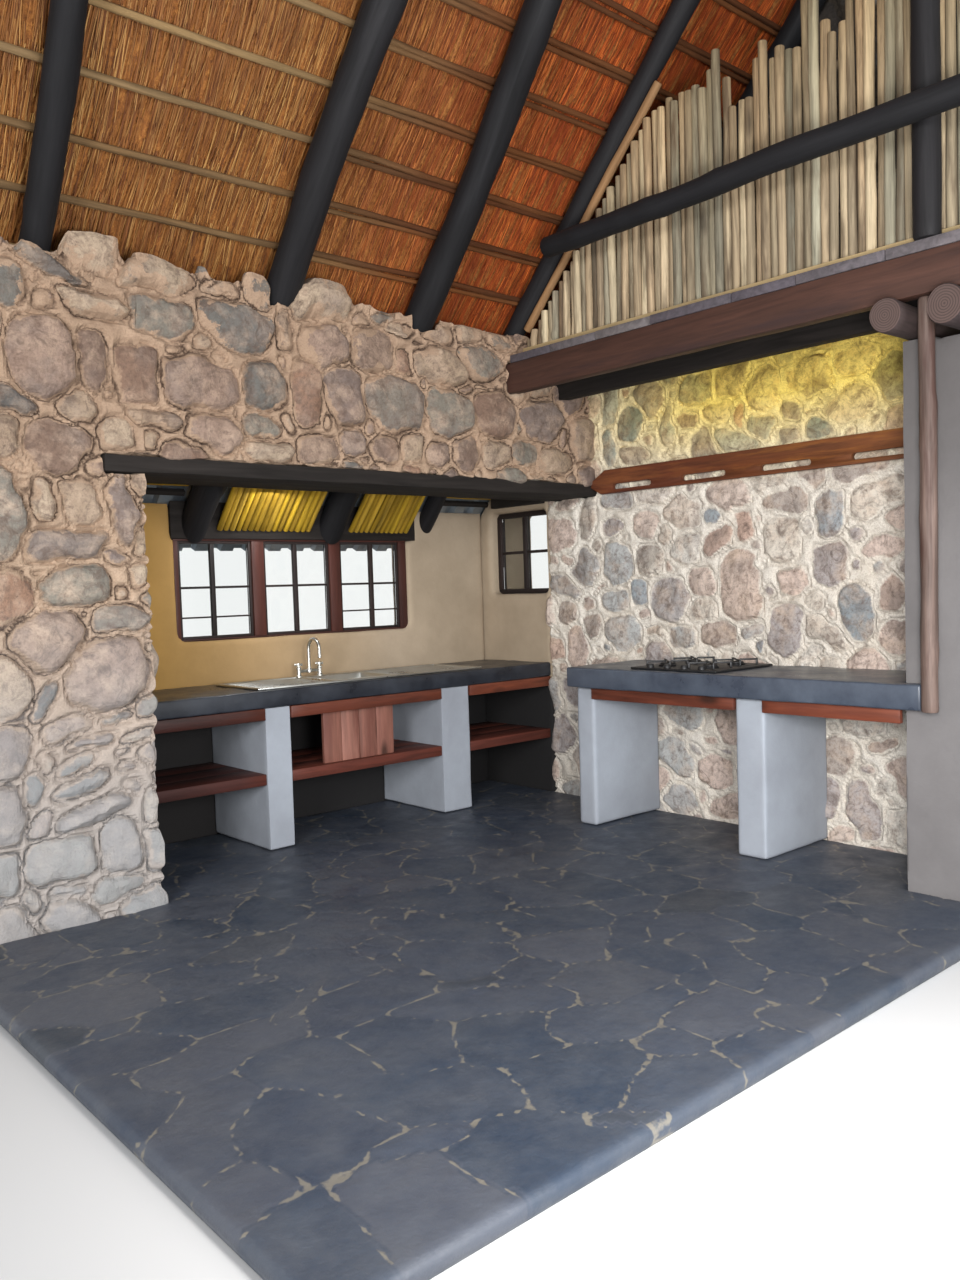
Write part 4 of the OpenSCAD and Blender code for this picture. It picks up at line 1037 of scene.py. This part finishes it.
def plaster_work():
    """Uneven plaster in place of each plastered node, sunk a little so that it stays in its box."""
    bodies = [("end_wall_plaster", "kitchen_end_wall", 0.022, 0.004, 0.3, nook_plaster),
              ("back_wall_plaster", "kitchen_back_wall", 0.022, 0.003, 0.3, nook_plaster),
              ("side_wall_plaster", "kitchen_side_wall", 0.024, 0.004, 0.3, nook_plaster),
              ("corner_pier_plaster", "plaster_pier", 0.018, 0.004, 0.3, corner_plaster),
              ("sink_pier_plaster", "sink_counter_piers", 0.014, 0.003, 0.25, pier_plaster),
              ("hob_pier_plaster", "hob_counter_piers", 0.014, 0.003, 0.25, pier_plaster)]
    for seed, (name, source, voxel, depth, size, finish) in enumerate(bodies, 2):
        weathered(name, source, voxel, depth, size, finish, "plaster", 0.002 - depth, seed)


# Roof timbers


def rafter(i):
    """Tapered crooked pole with plumb ends, its top flush with the laths."""
    end_y = RAFTER_END_Y[i]

    def depth(t):
        return end_y + (Y_RIDGE - end_y) * t

    def radius(t):
        taper = np.clip((depth(t) + BUTT_RUN) / (Y_RIDGE + BUTT_RUN), 0, 1)
        return (RAFTER_FOOT_D[i] * (1 - taper) + RAFTER_TIP_D * taper) / 2

    def route(t):
        y = depth(t)
        up, down = y / Y_RIDGE, y / Y_BACK
        x = np.where(y > 0, RAFTER_WALL_X[i] + down * (RAFTER_PLATE_X[i] - RAFTER_WALL_X[i]),
                     RAFTER_WALL_X[i] + up * (RAFTER_RIDGE_X[i] - RAFTER_WALL_X[i])
                     + RAFTER_SWAY[i] * np.sin(3 * math.pi * up))
        return np.stack([x, y, ROOF_Z - TAN * y + (RAFTER_TOP - radius(t)) / COS], -1)

    ends = route(np.array([[0.0, 1.0]]))[0]
    mesh = sticks(ends[0], ends[1], 0, 0, 30 + i, sides=24, rings=90, lump=0.05, knots=10, knot=0.12,
                  worn=0.06, route=route, across=((1, 0, 0), (0, 0, 1 / COS)), radius_at=radius)
    return hand_over(f"rafter_pole_{i + 1}", mesh, blue_black, "dark_pole", f"rafter_{i + 1}")


def laths():
    """Saplings across the rafters, with a second one beside each from the second rafter on."""
    starts, ends = pole_lines("roof_laths", (1, 0, 0))
    rng = np.random.default_rng(14)
    down, out = np.array([0, COS, -SIN]), np.array([0, SIN, COS])
    first, last, thick_first, thick_last = [], [], [], []
    for a, b in zip(starts, ends):
        lap = RAFTER_WALL_X[1] + (RAFTER_RIDGE_X[1] - RAFTER_WALL_X[1]) * a[1] / Y_RIDGE + 0.01
        slide = rng.uniform(-0.008, 0.006, 2)
        second = down * 0.023 - out * 0.004
        first += [a + down * slide[0], np.array([lap, *a[1:]]) + second + down * slide[0]]
        last += [b + down * (slide[1] - 0.010) - out * 0.003, b + second + down * slide[1]]
        thick_first += [0.034, rng.uniform(0.025, 0.028)]
        thick_last += [0.028, rng.uniform(0.023, 0.027)]
    mesh = sticks(first, last, thick_first, thick_last, 15, sides=10, rings=90, sway=0.005, lump=0.05,
                  knots=4, knot=0.12, nodes_every=0.34)
    hand_over("lath_saplings", mesh, lath_wood, "lath", "roof_laths")


def ridge():
    poles("ridge_log", "ridge_pole", (1, 0, 0), 0.15, 0.14, 16, blue_black, "dark_pole", sides=24, rings=50,
          sway=0.004, lump=0.03, knots=8)
    weathered("ridge_mortar", "ridge_cap", 0.028, 0.010, 0.12, cap_mortar, "mortar", -0.010, 9)


# Thatch


def thatch_coat():
    """The thatch's own body, weathered outside and straw-coloured below."""
    mesh = remeshed("thatch", 0.036)
    roughen(mesh, 0.010, 0.05, -0.011, 11, stretch=(1, 0.35, 0.35))
    piece = hand_over("thatch_coat", mesh, coat_straw, "thatch", "thatch", smooth=70, shift=False)
    mesh.materials.append(under_straw)
    facing = np.empty(len(mesh.polygons) * 3)
    mesh.polygons.foreach_get("normal", facing)
    below = (facing.reshape(-1, 3)[:, 2] < -0.2).astype(np.int32)
    mesh.polygons.foreach_set("material_index", below)
    return piece


def stems(name, count, x0, x1, seed):
    """Thatching grass under the coat: a course between laths hangs over the next one down."""
    rng = np.random.default_rng(seed)
    starts_s, ends_s = slope_s(Y_RIDGE, 0.1), slope_s(EAVE_Y, 0.1)
    pitch = LATH_RUN / COS
    x = rng.uniform(x0, x1, count)
    x = x + 0.02 * np.sin(x * 61) + 0.01 * rng.normal(size=count)
    top = rng.uniform(starts_s, ends_s - 0.1, count)
    length = rng.uniform(0.16, 0.62, count)
    hangs = rng.random(count) < 0.45
    # Hanging stems leave from behind a lath and end in ragged tufts before the next one
    lath_s = slope_s(0.0, LATH_H)
    row = np.floor((top - lath_s) / pitch)
    tuft = 0.55 + 0.3 * np.sin(x * 7 + row * 2.3) * np.sin(x * 19 + row)
    top = np.where(hangs, lath_s + row * pitch - rng.uniform(0.0, 0.06, count), top)
    length = np.where(hangs, pitch * tuft * rng.uniform(0.55, 1.15, count) + 0.04, length)
    bottom = np.minimum(top + length, ends_s - rng.uniform(0, 0.05, count))
    high = rng.uniform(THATCH_UNDER - 0.004, THATCH_UNDER + 0.003, count)
    low = np.where(hangs, rng.uniform(THATCH_UNDER - 0.020, THATCH_UNDER - 0.004, count), high)
    lean = rng.normal(0, 0.045, count) + 0.05 * np.sin(x * 2.1 + row)
    x_end = np.clip(x + lean * (bottom - top), VERGE_L + 0.01, VERGE_R - 0.01)
    start = np.stack(on_slope(x, top, high), 1)
    end = np.stack(on_slope(x_end, bottom, low), 1)
    thick = rng.uniform(0.0028, 0.0052, count)
    mesh = sticks(start, end, thick, thick * 0.6, seed + 1, sides=3, rings=1, sawn=False, lump=0, knots=0)
    return hand_over(name, mesh, stem_straw, "thatch")


# Nook roof


def nook_ceiling():
    starts, ends = pole_lines("kitchen_ceiling", (0, COS, -SIN))
    ends += (0, 0.018, -0.026)
    ends[:, 1] = np.minimum(ends[:, 1], Y_BACK - 0.003)
    rng = np.random.default_rng(17)
    thick = rng.uniform(0.033, 0.040, len(starts))
    mesh = sticks(starts, ends, thick, thick * 0.97, 18, sides=12, rings=14, sway=0.0025, lump=0.05,
                  knots=2)
    hand_over("ceiling_saplings", mesh, ceiling_wood, "ceiling_pole", "kitchen_ceiling")
    poles("end_bay_poles", "nook_end_poles", (1, 0, 0), 0.045, 0.043, 19, ceiling_wood, "ceiling_pole",
          sides=16, rings=20, sway=0.002, lump=0.04, knots=3)
    softened("nook_batten_strips", "nook_battens", 0.003, lintel_wood, "black_timber")
    softened("window_head_board", "small_window_board", 0.004, lintel_wood, "black_timber")


# Loft front


def loft_floor(rng):
    """Boards of uneven width, across the beam and the joist."""
    lo, hi = node_box("loft_floor_boards")
    y = hi.y
    while y > lo.y + 0.01:
        end = max(lo.y, y - rng.uniform(0.33, 0.52))
        if end - lo.y < 0.2:
            end = lo.y
        yield ((lo.x + rng.uniform(0.0, 0.012), end + 0.002, lo.z + rng.uniform(0, 0.002)),
               (hi.x, y - 0.002, hi.z - rng.uniform(0, 0.004)))
        y = end


def loft_timber():
    rng = random.Random(40)
    timbers("front_beam_timber", "loft_front_beam", [node_box("loft_front_beam")], rng, beam_wood,
            "brown_beam", 0.007, 0.003)
    timbers("joist_timber", "loft_joist", [node_box("loft_joist")], rng, lintel_wood, "black_timber",
            0.006, 0.003)
    timbers("loft_boards", "loft_floor_boards", loft_floor(rng), rng, board_wood, "grey_board",
            0.003, 0.001, 0.3)
    lo, hi = node_box("loft_sole_strip")
    timbers("sole_batten", "loft_sole_strip", [(lo, hi + Vector((0, 0, SOLE_RISE)))], rng, strip_wood,
            "pale_strip", 0.003, 0.002)


def loft_poles():
    starts, ends = pole_lines("loft_screen_poles", (0, 0, 1))
    rng = np.random.default_rng(41)
    starts[:, :2] += rng.uniform(-0.003, 0.003, (len(starts), 2))
    aside = 0.006 * (-1) ** np.arange(len(starts))
    starts[:, 0] += aside
    ends[:, 0] += aside + rng.uniform(-0.004, 0.006, len(ends))
    ends[:, 1] += rng.uniform(-0.008, 0.008, len(ends))
    thick = rng.uniform(0.041, 0.050, len(starts))
    mesh = sticks(starts, ends, thick, thick * rng.uniform(0.86, 1.0, len(starts)), 42, sides=12, rings=16,
                  sway=0.003, lump=0.04, knots=4, knot=0.10, worn=0.05)
    hand_over("screen_saplings", mesh, screen_wood, "pale_pole", "loft_screen_poles")
    poles("edge_sapling", "screen_edge_pole", (0, COS, -SIN), 0.046, 0.050, 43, edge_wood, "lath", sides=14,
          rings=20, sway=0.004, lump=0.05, knots=4)
    poles("handrail_pole", "loft_handrail", (0, 1, 0), 0.118, 0.112, 44, blue_black, "dark_pole", sides=24,
          rings=50, sway=0.006, lump=0.03, knots=6, worn=0.08)
    poles("post_pole", "loft_post", (0, 0, 1), 0.115, 0.112, 45, blue_black, "dark_pole", sides=24,
          rings=50, lump=0.03, knots=6)
    for k, d in ((1, 0.143), (2, 0.159)):
        poles(f"bearer_log_round_{k}", f"bearer_log_{k}", (1, 0, 0), d, d, 45 + k, log_wood, "dark_pole",
              sides=24, rings=16, lump=0.05, knots=3, worn=0.07)
    poles("corner_sapling", "corner_pole", (0, 0, 1), 0.073, 0.069, 48, corner_wood, "red_timber", sides=18,
          rings=40, sway=0.003, lump=0.05, knots=6, knot=0.10)


# Timber about the opening and the counters


def opening_timber():
    lo, hi = node_box("opening_lintel")
    timbers("lintel_beam", "opening_lintel", [(lo - Vector((0, 0.006, 0)), hi)], random.Random(50),
            lintel_wood, "black_timber", 0.006, 0.004, 0.1)
    softened("wall_plate_timber", "wall_plate", 0.004, lintel_wood, "black_timber")
    softened("utensil_board", "utensil_rail", 0.003, rail_wood, "red_timber")


def shelf_boxes():
    """Three boards in each shelf."""
    for lo, hi in solid_boxes("sink_counter_shelves"):
        width = (hi.y - lo.y) / 3
        for k in range(3):
            yield (lo.x, lo.y + k * width + 0.001, lo.z), (hi.x, lo.y + (k + 1) * width - 0.001, hi.z)


def counter_timber():
    rng = random.Random(60)
    timbers("sink_aprons", "sink_counter_aprons", solid_boxes("sink_counter_aprons"), rng, red_wood,
            "red_timber", 0.004, 0.002, 0.12)
    timbers("hob_aprons", "hob_counter_aprons", solid_boxes("hob_counter_aprons"), rng, red_wood,
            "red_timber", 0.004, 0.002, 0.12)
    timbers("shelf_boards", "sink_counter_shelves", shelf_boxes(), rng, shelf_wood, "red_timber",
            0.005, 0.0015)
    timbers("cupboard_boards", "cupboard_planks", solid_boxes("cupboard_planks"), rng, cupboard_wood,
            "red_timber", 0.004, 0.001, 0.08)


def counter_tops():
    for name, source, finish in (("sink_worktop", "sink_counter_slab", slab_cement),
                                 ("hob_worktop", "hob_counter_slab", hob_cement)):
        bm = node_copy(source)
        round_over(bm, bm.edges[:], 0.012, 3)
        # Rows of edges, so that the flat top can be made uneven
        lo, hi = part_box(source)
        for axis in (0, 1):
            for k in range(1, int((hi[axis] - lo[axis]) / 0.06)):
                cut(bm, whole(bm), lo, axis, k * 0.06)
        mesh = to_mesh(bm)
        roughen(mesh, 0.003, 0.09, -0.001, 13)
        hand_over(name, mesh, finish, "cement_slab", source, shift=False)


# Windows


def windows():
    rng = random.Random(70)
    lo, hi = node_box("window_frame")
    lights = sorted(solid_boxes("window_lights"), key=lambda light: light[0].x)
    sill, head = lights[0][0].z, lights[0][1].z
    bm = bmesh.new()
    timber(bm, lo, (hi.x, hi.y, sill), rng, 0.002, 0.001)
    timber(bm, (lo.x, lo.y, head), hi, rng, 0.002, 0.001)
    sides = [lo.x] + [x for light in lights for x in (light[0].x, light[1].x)] + [hi.x]
    for k in range(4):
        front = lo.y - (0.004 if k in (1, 2) else 0)
        timber(bm, (sides[2 * k], front, sill), (sides[2 * k + 1], hi.y, head), rng, 0.003, 0.001)
    hand_over("casement_frame", to_mesh(bm), frame_wood, "window_timber", "window_frame")

    bm = bmesh.new()
    for k, (a, b) in enumerate(lights):
        bar_x, left, right = GLAZING_BAR_X[k], a.x + LIGHT_STILE, b.x - LIGHT_STILE
        foot, top = a.z + LIGHT_STILE, b.z - LIGHT_STILE
        cross_lo, cross_hi = CROSS_BAR_Z - 0.007, CROSS_BAR_Z + 0.007
        bars = [(a, (left, b.y, b.z), 0.002),
                ((right, a.y, a.z), b, 0.002),
                ((left, a.y, a.z), (right, b.y, foot), 0.002),
                ((left, a.y, top), (right, b.y, b.z), 0.002),
                ((bar_x - 0.014, a.y + 0.004, foot), (bar_x + 0.014, b.y - 0.004, top), 0.003),
                ((left, a.y + 0.006, cross_lo), (right, b.y - 0.006, cross_hi), 0.002)]
        for low, high, edge in bars:
            timber(bm, low, high, rng, edge, 0.0006)
        if k != 1:
            timber(bm, (left, a.y + 0.008, LOW_BAR_Z[0]), (right, b.y - 0.008, LOW_BAR_Z[1]), rng,
                   0.002, 0.0004)
    hand_over("casements", to_mesh(bm), light_wood, "window_timber", "window_lights")

    lo, hi = node_box("small_window_frame")
    wide, half = 0.034, 0.014
    mid_y, cross_z = (lo.y + hi.y) / 2, lo.z + 0.509 * (hi.z - lo.z)
    bm = bmesh.new()
    timber(bm, lo, (hi.x, hi.y, lo.z + wide), rng, 0.003, 0.001)
    timber(bm, (lo.x, lo.y, hi.z - wide), hi, rng, 0.003, 0.001)
    for a, b in ((lo.y, lo.y + wide), (mid_y - half, mid_y + half), (hi.y - wide, hi.y)):
        timber(bm, (lo.x, a, lo.z + wide), (hi.x, b, hi.z - wide), rng, 0.003, 0.001)
    for a, b in ((lo.y + wide, mid_y - half), (mid_y + half, hi.y - wide)):
        timber(bm, (lo.x + 0.012, a, cross_z - 0.010), (hi.x - 0.012, b, cross_z + 0.010), rng,
               0.003, 0.0006)
    hand_over("small_casement_frame", to_mesh(bm), light_wood, "window_timber", "small_window_frame")


# Sink, tap and hob


def turned(bm, outline, place, segments=24, axis=(0, 0, 1)):
    """Solid of revolution from pairs of radius and height, set with its foot at a place."""
    verts = [bm.verts.new((r, 0, h)) for r, h in outline]
    edges = [bm.edges.new(pair) for pair in zip(verts, verts[1:])]
    bmesh.ops.spin(bm, geom=verts + edges, cent=(0, 0, 0), axis=(0, 0, 1), angle=2 * math.pi,
                   steps=segments, use_merge=True)
    found = set(verts)
    front = list(verts)
    while front:
        for e in front.pop().link_edges:
            for v in e.verts:
                if v not in found:
                    found.add(v)
                    front.append(v)
    bmesh.ops.remove_doubles(bm, verts=list(found), dist=1e-5)
    found = [v for v in found if v.is_valid]
    turn = Vector((0, 0, 1)).rotation_difference(Vector(axis)).to_matrix().to_4x4()
    bmesh.ops.transform(bm, matrix=Matrix.Translation(place) @ turn, verts=found)


def sink_unit():
    """Sink with the ribs of its two drainers and the bowl's outlet."""
    softened("sink_bowl", "sink", 0.0025, steel, "steel")
    lo, hi = node_box("sink")
    rng = random.Random(80)
    bm = bmesh.new()
    for x0, x1 in ((lo.x + 0.05, BOWL_X[0] - 0.05), (BOWL_X[1] + 0.05, hi.x - 0.05)):
        for k in range(13):
            y = lo.y + 0.06 + k * (hi.y - lo.y - 0.12) / 12
            timber(bm, (x0, y - 0.005, hi.z - 0.009), (x1, y + 0.005, hi.z - 0.004), rng, 0.002, 0, 9)
    outline = [(0, 0.0), (0.030, 0.001), (0.038, 0.004), (0.042, 0.002), (0.042, 0.0), (0, -0.001)]
    turned(bm, outline, (sum(BOWL_X) / 2, BOWL_Y, hi.z - BOWL_DEPTH))
    bmesh.ops.recalc_face_normals(bm, faces=bm.faces)
    hand_over("sink_drainers", to_mesh(bm), steel, "steel")


def tap_unit():
    """Bridge tap: two pillars with cross heads, and a swan neck over the bowl."""
    lo, hi = node_box("tap")
    x, y, base = (lo.x + hi.x) / 2, TAP_Y, lo.z
    neck_r, neck_z, pipe, aside = 0.062, base + 0.170, 0.010, 0.075
    bm = bmesh.new()
    for side in (-1, 1):
        place = (x + side * aside, y, base)
        turned(bm, [(0, 0), (0.021, 0), (0.021, 0.006), (0.014, 0.012), (0.013, 0.046), (0.017, 0.050),
                    (0.017, 0.058), (0.010, 0.062), (0.009, 0.070), (0, 0.070)], place)
        for k in range(4):
            a = math.pi / 4 + k * math.pi / 2
            turned(bm, [(0, 0), (0.0055, 0.0), (0.0065, 0.016), (0.0085, 0.019), (0.0085, 0.023),
                        (0, 0.025)], (place[0], y, base + 0.076), 12, (math.cos(a), math.sin(a), 0))
        turned(bm, [(0, 0), (0.011, 0), (0.012, 0.010), (0.007, 0.016), (0, 0.017)],
               (place[0], y, base + 0.070), 16)
    turned(bm, [(0, 0), (0.009, 0), (0.009, 0.15), (0, 0.15)], (x - aside, y, base + 0.035), 16, (1, 0, 0))
    turned(bm, [(0, 0), (0.016, 0), (0.016, 0.02), (pipe, 0.026), (pipe, 0.145), (0, 0.145)],
           (x, y, base + 0.025), 20)
    # Swan neck: a round drawn along the half circle
    ring = bmesh.ops.create_circle(bm, segments=16, radius=pipe)["verts"]
    bmesh.ops.transform(bm, verts=ring, matrix=Matrix.Translation((x, y, neck_z)))
    edges = list({e for v in ring for e in v.link_edges})
    bmesh.ops.spin(bm, geom=ring + edges, cent=(x, y - neck_r, neck_z), axis=(1, 0, 0), angle=math.pi,
                   steps=24)
    turned(bm, [(0, 0), (0.0075, 0), (0.0115, 0.002), (0.0115, 0.016), (pipe, 0.020), (pipe, 0.052),
                (0, 0.052)], (x, y - 2 * neck_r, base + 0.118), 20)
    bmesh.ops.remove_doubles(bm, verts=bm.verts, dist=1e-5)
    bmesh.ops.recalc_face_normals(bm, faces=bm.faces)
    hand_over("bridge_tap", to_mesh(bm), steel, "steel", "tap")


def hob_unit():
    """Hob with four burners, their pan rests and four knobs."""
    softened("hob_plate", "hob", 0.003, black_iron, "cast_iron")
    lo, hi = node_box("hob")
    rng = random.Random(90)
    bm = bmesh.new()
    for fx in (0.28, 0.74):
        for fy in (0.25, 0.75):
            x, y = lo.x + fx * (hi.x - lo.x), lo.y + fy * (hi.y - lo.y)
            turned(bm, [(0, 0), (0.048, 0), (0.050, 0.008), (0.040, 0.012), (0.040, 0.016), (0.034, 0.020),
                        (0, 0.021)], (x, y, hi.z))
            for k in range(4):
                a = math.pi / 4 + k * math.pi / 2
                place = Matrix.Translation((x, y, hi.z)) @ Matrix.Rotation(a, 4, "Z")
                for low, high in (((0.018, -0.005, 0.024), (0.118, 0.005, 0.034)),
                                  ((0.106, -0.005, 0.0), (0.118, 0.005, 0.030))):
                    bmesh.ops.transform(bm, verts=timber(bm, low, high, rng, 0.0025, 0, 9), matrix=place)
    for k in range(4):
        y = lo.y + (0.2 + 0.2 * k) * (hi.y - lo.y)
        turned(bm, [(0, 0), (0.021, 0), (0.019, 0.016), (0.016, 0.020), (0, 0.021)],
               (lo.x + 0.035, y, hi.z), 20)
    bmesh.ops.recalc_face_normals(bm, faces=bm.faces)
    hand_over("burners_and_pan_rests", to_mesh(bm), black_iron, "cast_iron")


# Floor


def slate_paving():
    """Slabs of uneven shape and level, with sunken joints."""
    mesh = remeshed("slate_floor", 0.022)
    points = read_points(mesh) - np.array(SHIFT)
    # The floor is laid as a wall is, with depth in the room for height
    flat = points[:, [0, 2, 1]] * (1, 0.2, 1)
    slabs = Stones(flat, 0, [], (0.055, 0.16), 61, 0.9)
    slab, edge = slabs.relief(flat, 61, 0.010, 0.001, 2.2)
    top = points[:, 2] > -0.02
    step = np.clip((edge - 0.003) / 0.006, 0, 1)
    level = slabs.rng.uniform(-0.002, 0.0, len(slabs.turn))[slab]
    points[:, 2] += np.where(top, -0.004 + step * (0.004 + level), 0)
    points[:, 2] += np.where(top, 0.0012 * (wander(points, 0.12, 63)[:, 0] - 0.5), 0)
    write_points(mesh, points + np.array(SHIFT))
    write_attribute(mesh, "edge", edge - 0.004)
    write_attribute(mesh, "tone", slabs.rng.random(len(slabs.turn))[slab])
    hand_over("slate_paving", mesh, slate, "slate", "slate_floor", smooth=60, shift=False)


walls()
plaster_work()
for i in range(len(RAFTER_WALL_X)):
    rafter(i)
laths()
ridge()
thatch_coat()
stems("thatch_stems_left", 11000, -4.06, -2.3, 100)
stems("thatch_stems_middle", 9000, -2.3, -0.9, 110)
stems("thatch_stems_right", 9000, -0.9, 0.49, 120)
nook_ceiling()
loft_timber()
loft_poles()
opening_timber()
counter_timber()
counter_tops()
windows()
sink_unit()
tap_unit()
hob_unit()
slate_paving()

# Camera, floor and light


def add_camera():
    """The photo's own viewpoint, found by a fit to its straight edges."""
    camera = bpy.data.cameras.new("camera")
    camera.sensor_width = 36
    camera.lens = 28.71
    camera.clip_start, camera.clip_end = 0.05, 100
    holder = bpy.data.objects.new("camera", camera)
    forward = Vector((0.65959305, 0.74993987, -0.0502712))
    right = Vector((0.74945704, -0.66129351, -0.03170239))
    up = Vector((0.0570189, 0.01676543, 0.99823232))
    turn = Matrix((right, up, -forward)).transposed().to_4x4()
    place = Matrix.Translation((-3.22400, -3.80050, 1.47464))
    holder.matrix_world = place @ turn
    bpy.context.scene.collection.objects.link(holder)
    bpy.context.scene.camera = holder


def add_light(name, place, aim, size, power, colour=(1, 1, 1)):
    """Round lamp with its size in metres and its power in watts."""
    light = bpy.data.lights.new(name, "AREA")
    light.shape = "DISK"
    light.size = size
    light.energy = power
    light.color = colour
    holder = bpy.data.objects.new(name, light)
    holder.location = place
    holder.rotation_euler = (Vector(aim) - Vector(place)).to_track_quat("-Z", "Y").to_euler()
    holder.visible_camera = False
    bpy.context.scene.collection.objects.link(holder)


def add_floor():
    """Stage floor, just under the part."""
    bm = bmesh.new()
    bmesh.ops.create_grid(bm, x_segments=1, y_segments=1, size=14)
    f = Finish("pale floor", 0.9)
    piece = bpy.data.objects.new("pale_floor", to_mesh(bm))
    piece.data.materials.append(f.done((0.62, 0.62, 0.62)))
    piece.location.z = -0.002
    bpy.context.scene.collection.objects.link(piece)


def add_world():
    """Soft light all round, seen as white by the camera and through the panes."""
    world = bpy.data.worlds.new("pale world")
    world.use_nodes = True
    tree = world.node_tree
    tree.nodes.clear()
    soft, white = tree.nodes.new("ShaderNodeBackground"), tree.nodes.new("ShaderNodeBackground")
    soft.inputs["Color"].default_value = (0.95, 0.97, 1.0, 1)
    soft.inputs["Strength"].default_value = 0.44
    white.inputs["Color"].default_value = (1, 1, 1, 1)
    white.inputs["Strength"].default_value = 1.0
    path = tree.nodes.new("ShaderNodeLightPath")
    seen = path.outputs["Is Camera Ray"]
    for key in ("Is Glossy Ray", "Is Transmission Ray"):
        either = tree.nodes.new("ShaderNodeMath")
        either.operation = "MAXIMUM"
        tree.links.new(seen, either.inputs[0])
        tree.links.new(path.outputs[key], either.inputs[1])
        seen = either.outputs[0]
    mix, out = tree.nodes.new("ShaderNodeMixShader"), tree.nodes.new("ShaderNodeOutputWorld")
    tree.links.new(seen, mix.inputs[0])
    tree.links.new(soft.outputs[0], mix.inputs[1])
    tree.links.new(white.outputs[0], mix.inputs[2])
    tree.links.new(mix.outputs[0], out.inputs["Surface"])
    bpy.context.scene.world = world


add_camera()
add_floor()
add_world()
add_light("key", (-7.5, -5.4, 3.2), (0.8, -0.2, 1.5), 2.4, 470)
add_light("front", (-0.6, -6.2, 1.9), (0.2, 0.6, 1.2), 2.4, 130, (0.92, 0.96, 1.0))
add_light("side", (-2.0, -3.5, 1.4), (1.8, -0.6, 1.7), 1.0, 150, (1.0, 0.99, 0.98))
add_light("nook", (-0.1, 1.42, 2.05), (-0.1, 1.62, 1.0), 0.4, 6)
bpy.context.scene.view_settings.view_transform = "Standard"

# Finishes for the CAD roof sheets and window panes, which are shown as they are

finishes = {"kitchen_roof_sheets": sheet_metal, "window_glass": glass, "small_window_glass": glass}
for name, finish in finishes.items():
    nodes[name].data.materials.clear()
    nodes[name].data.materials.append(finish)
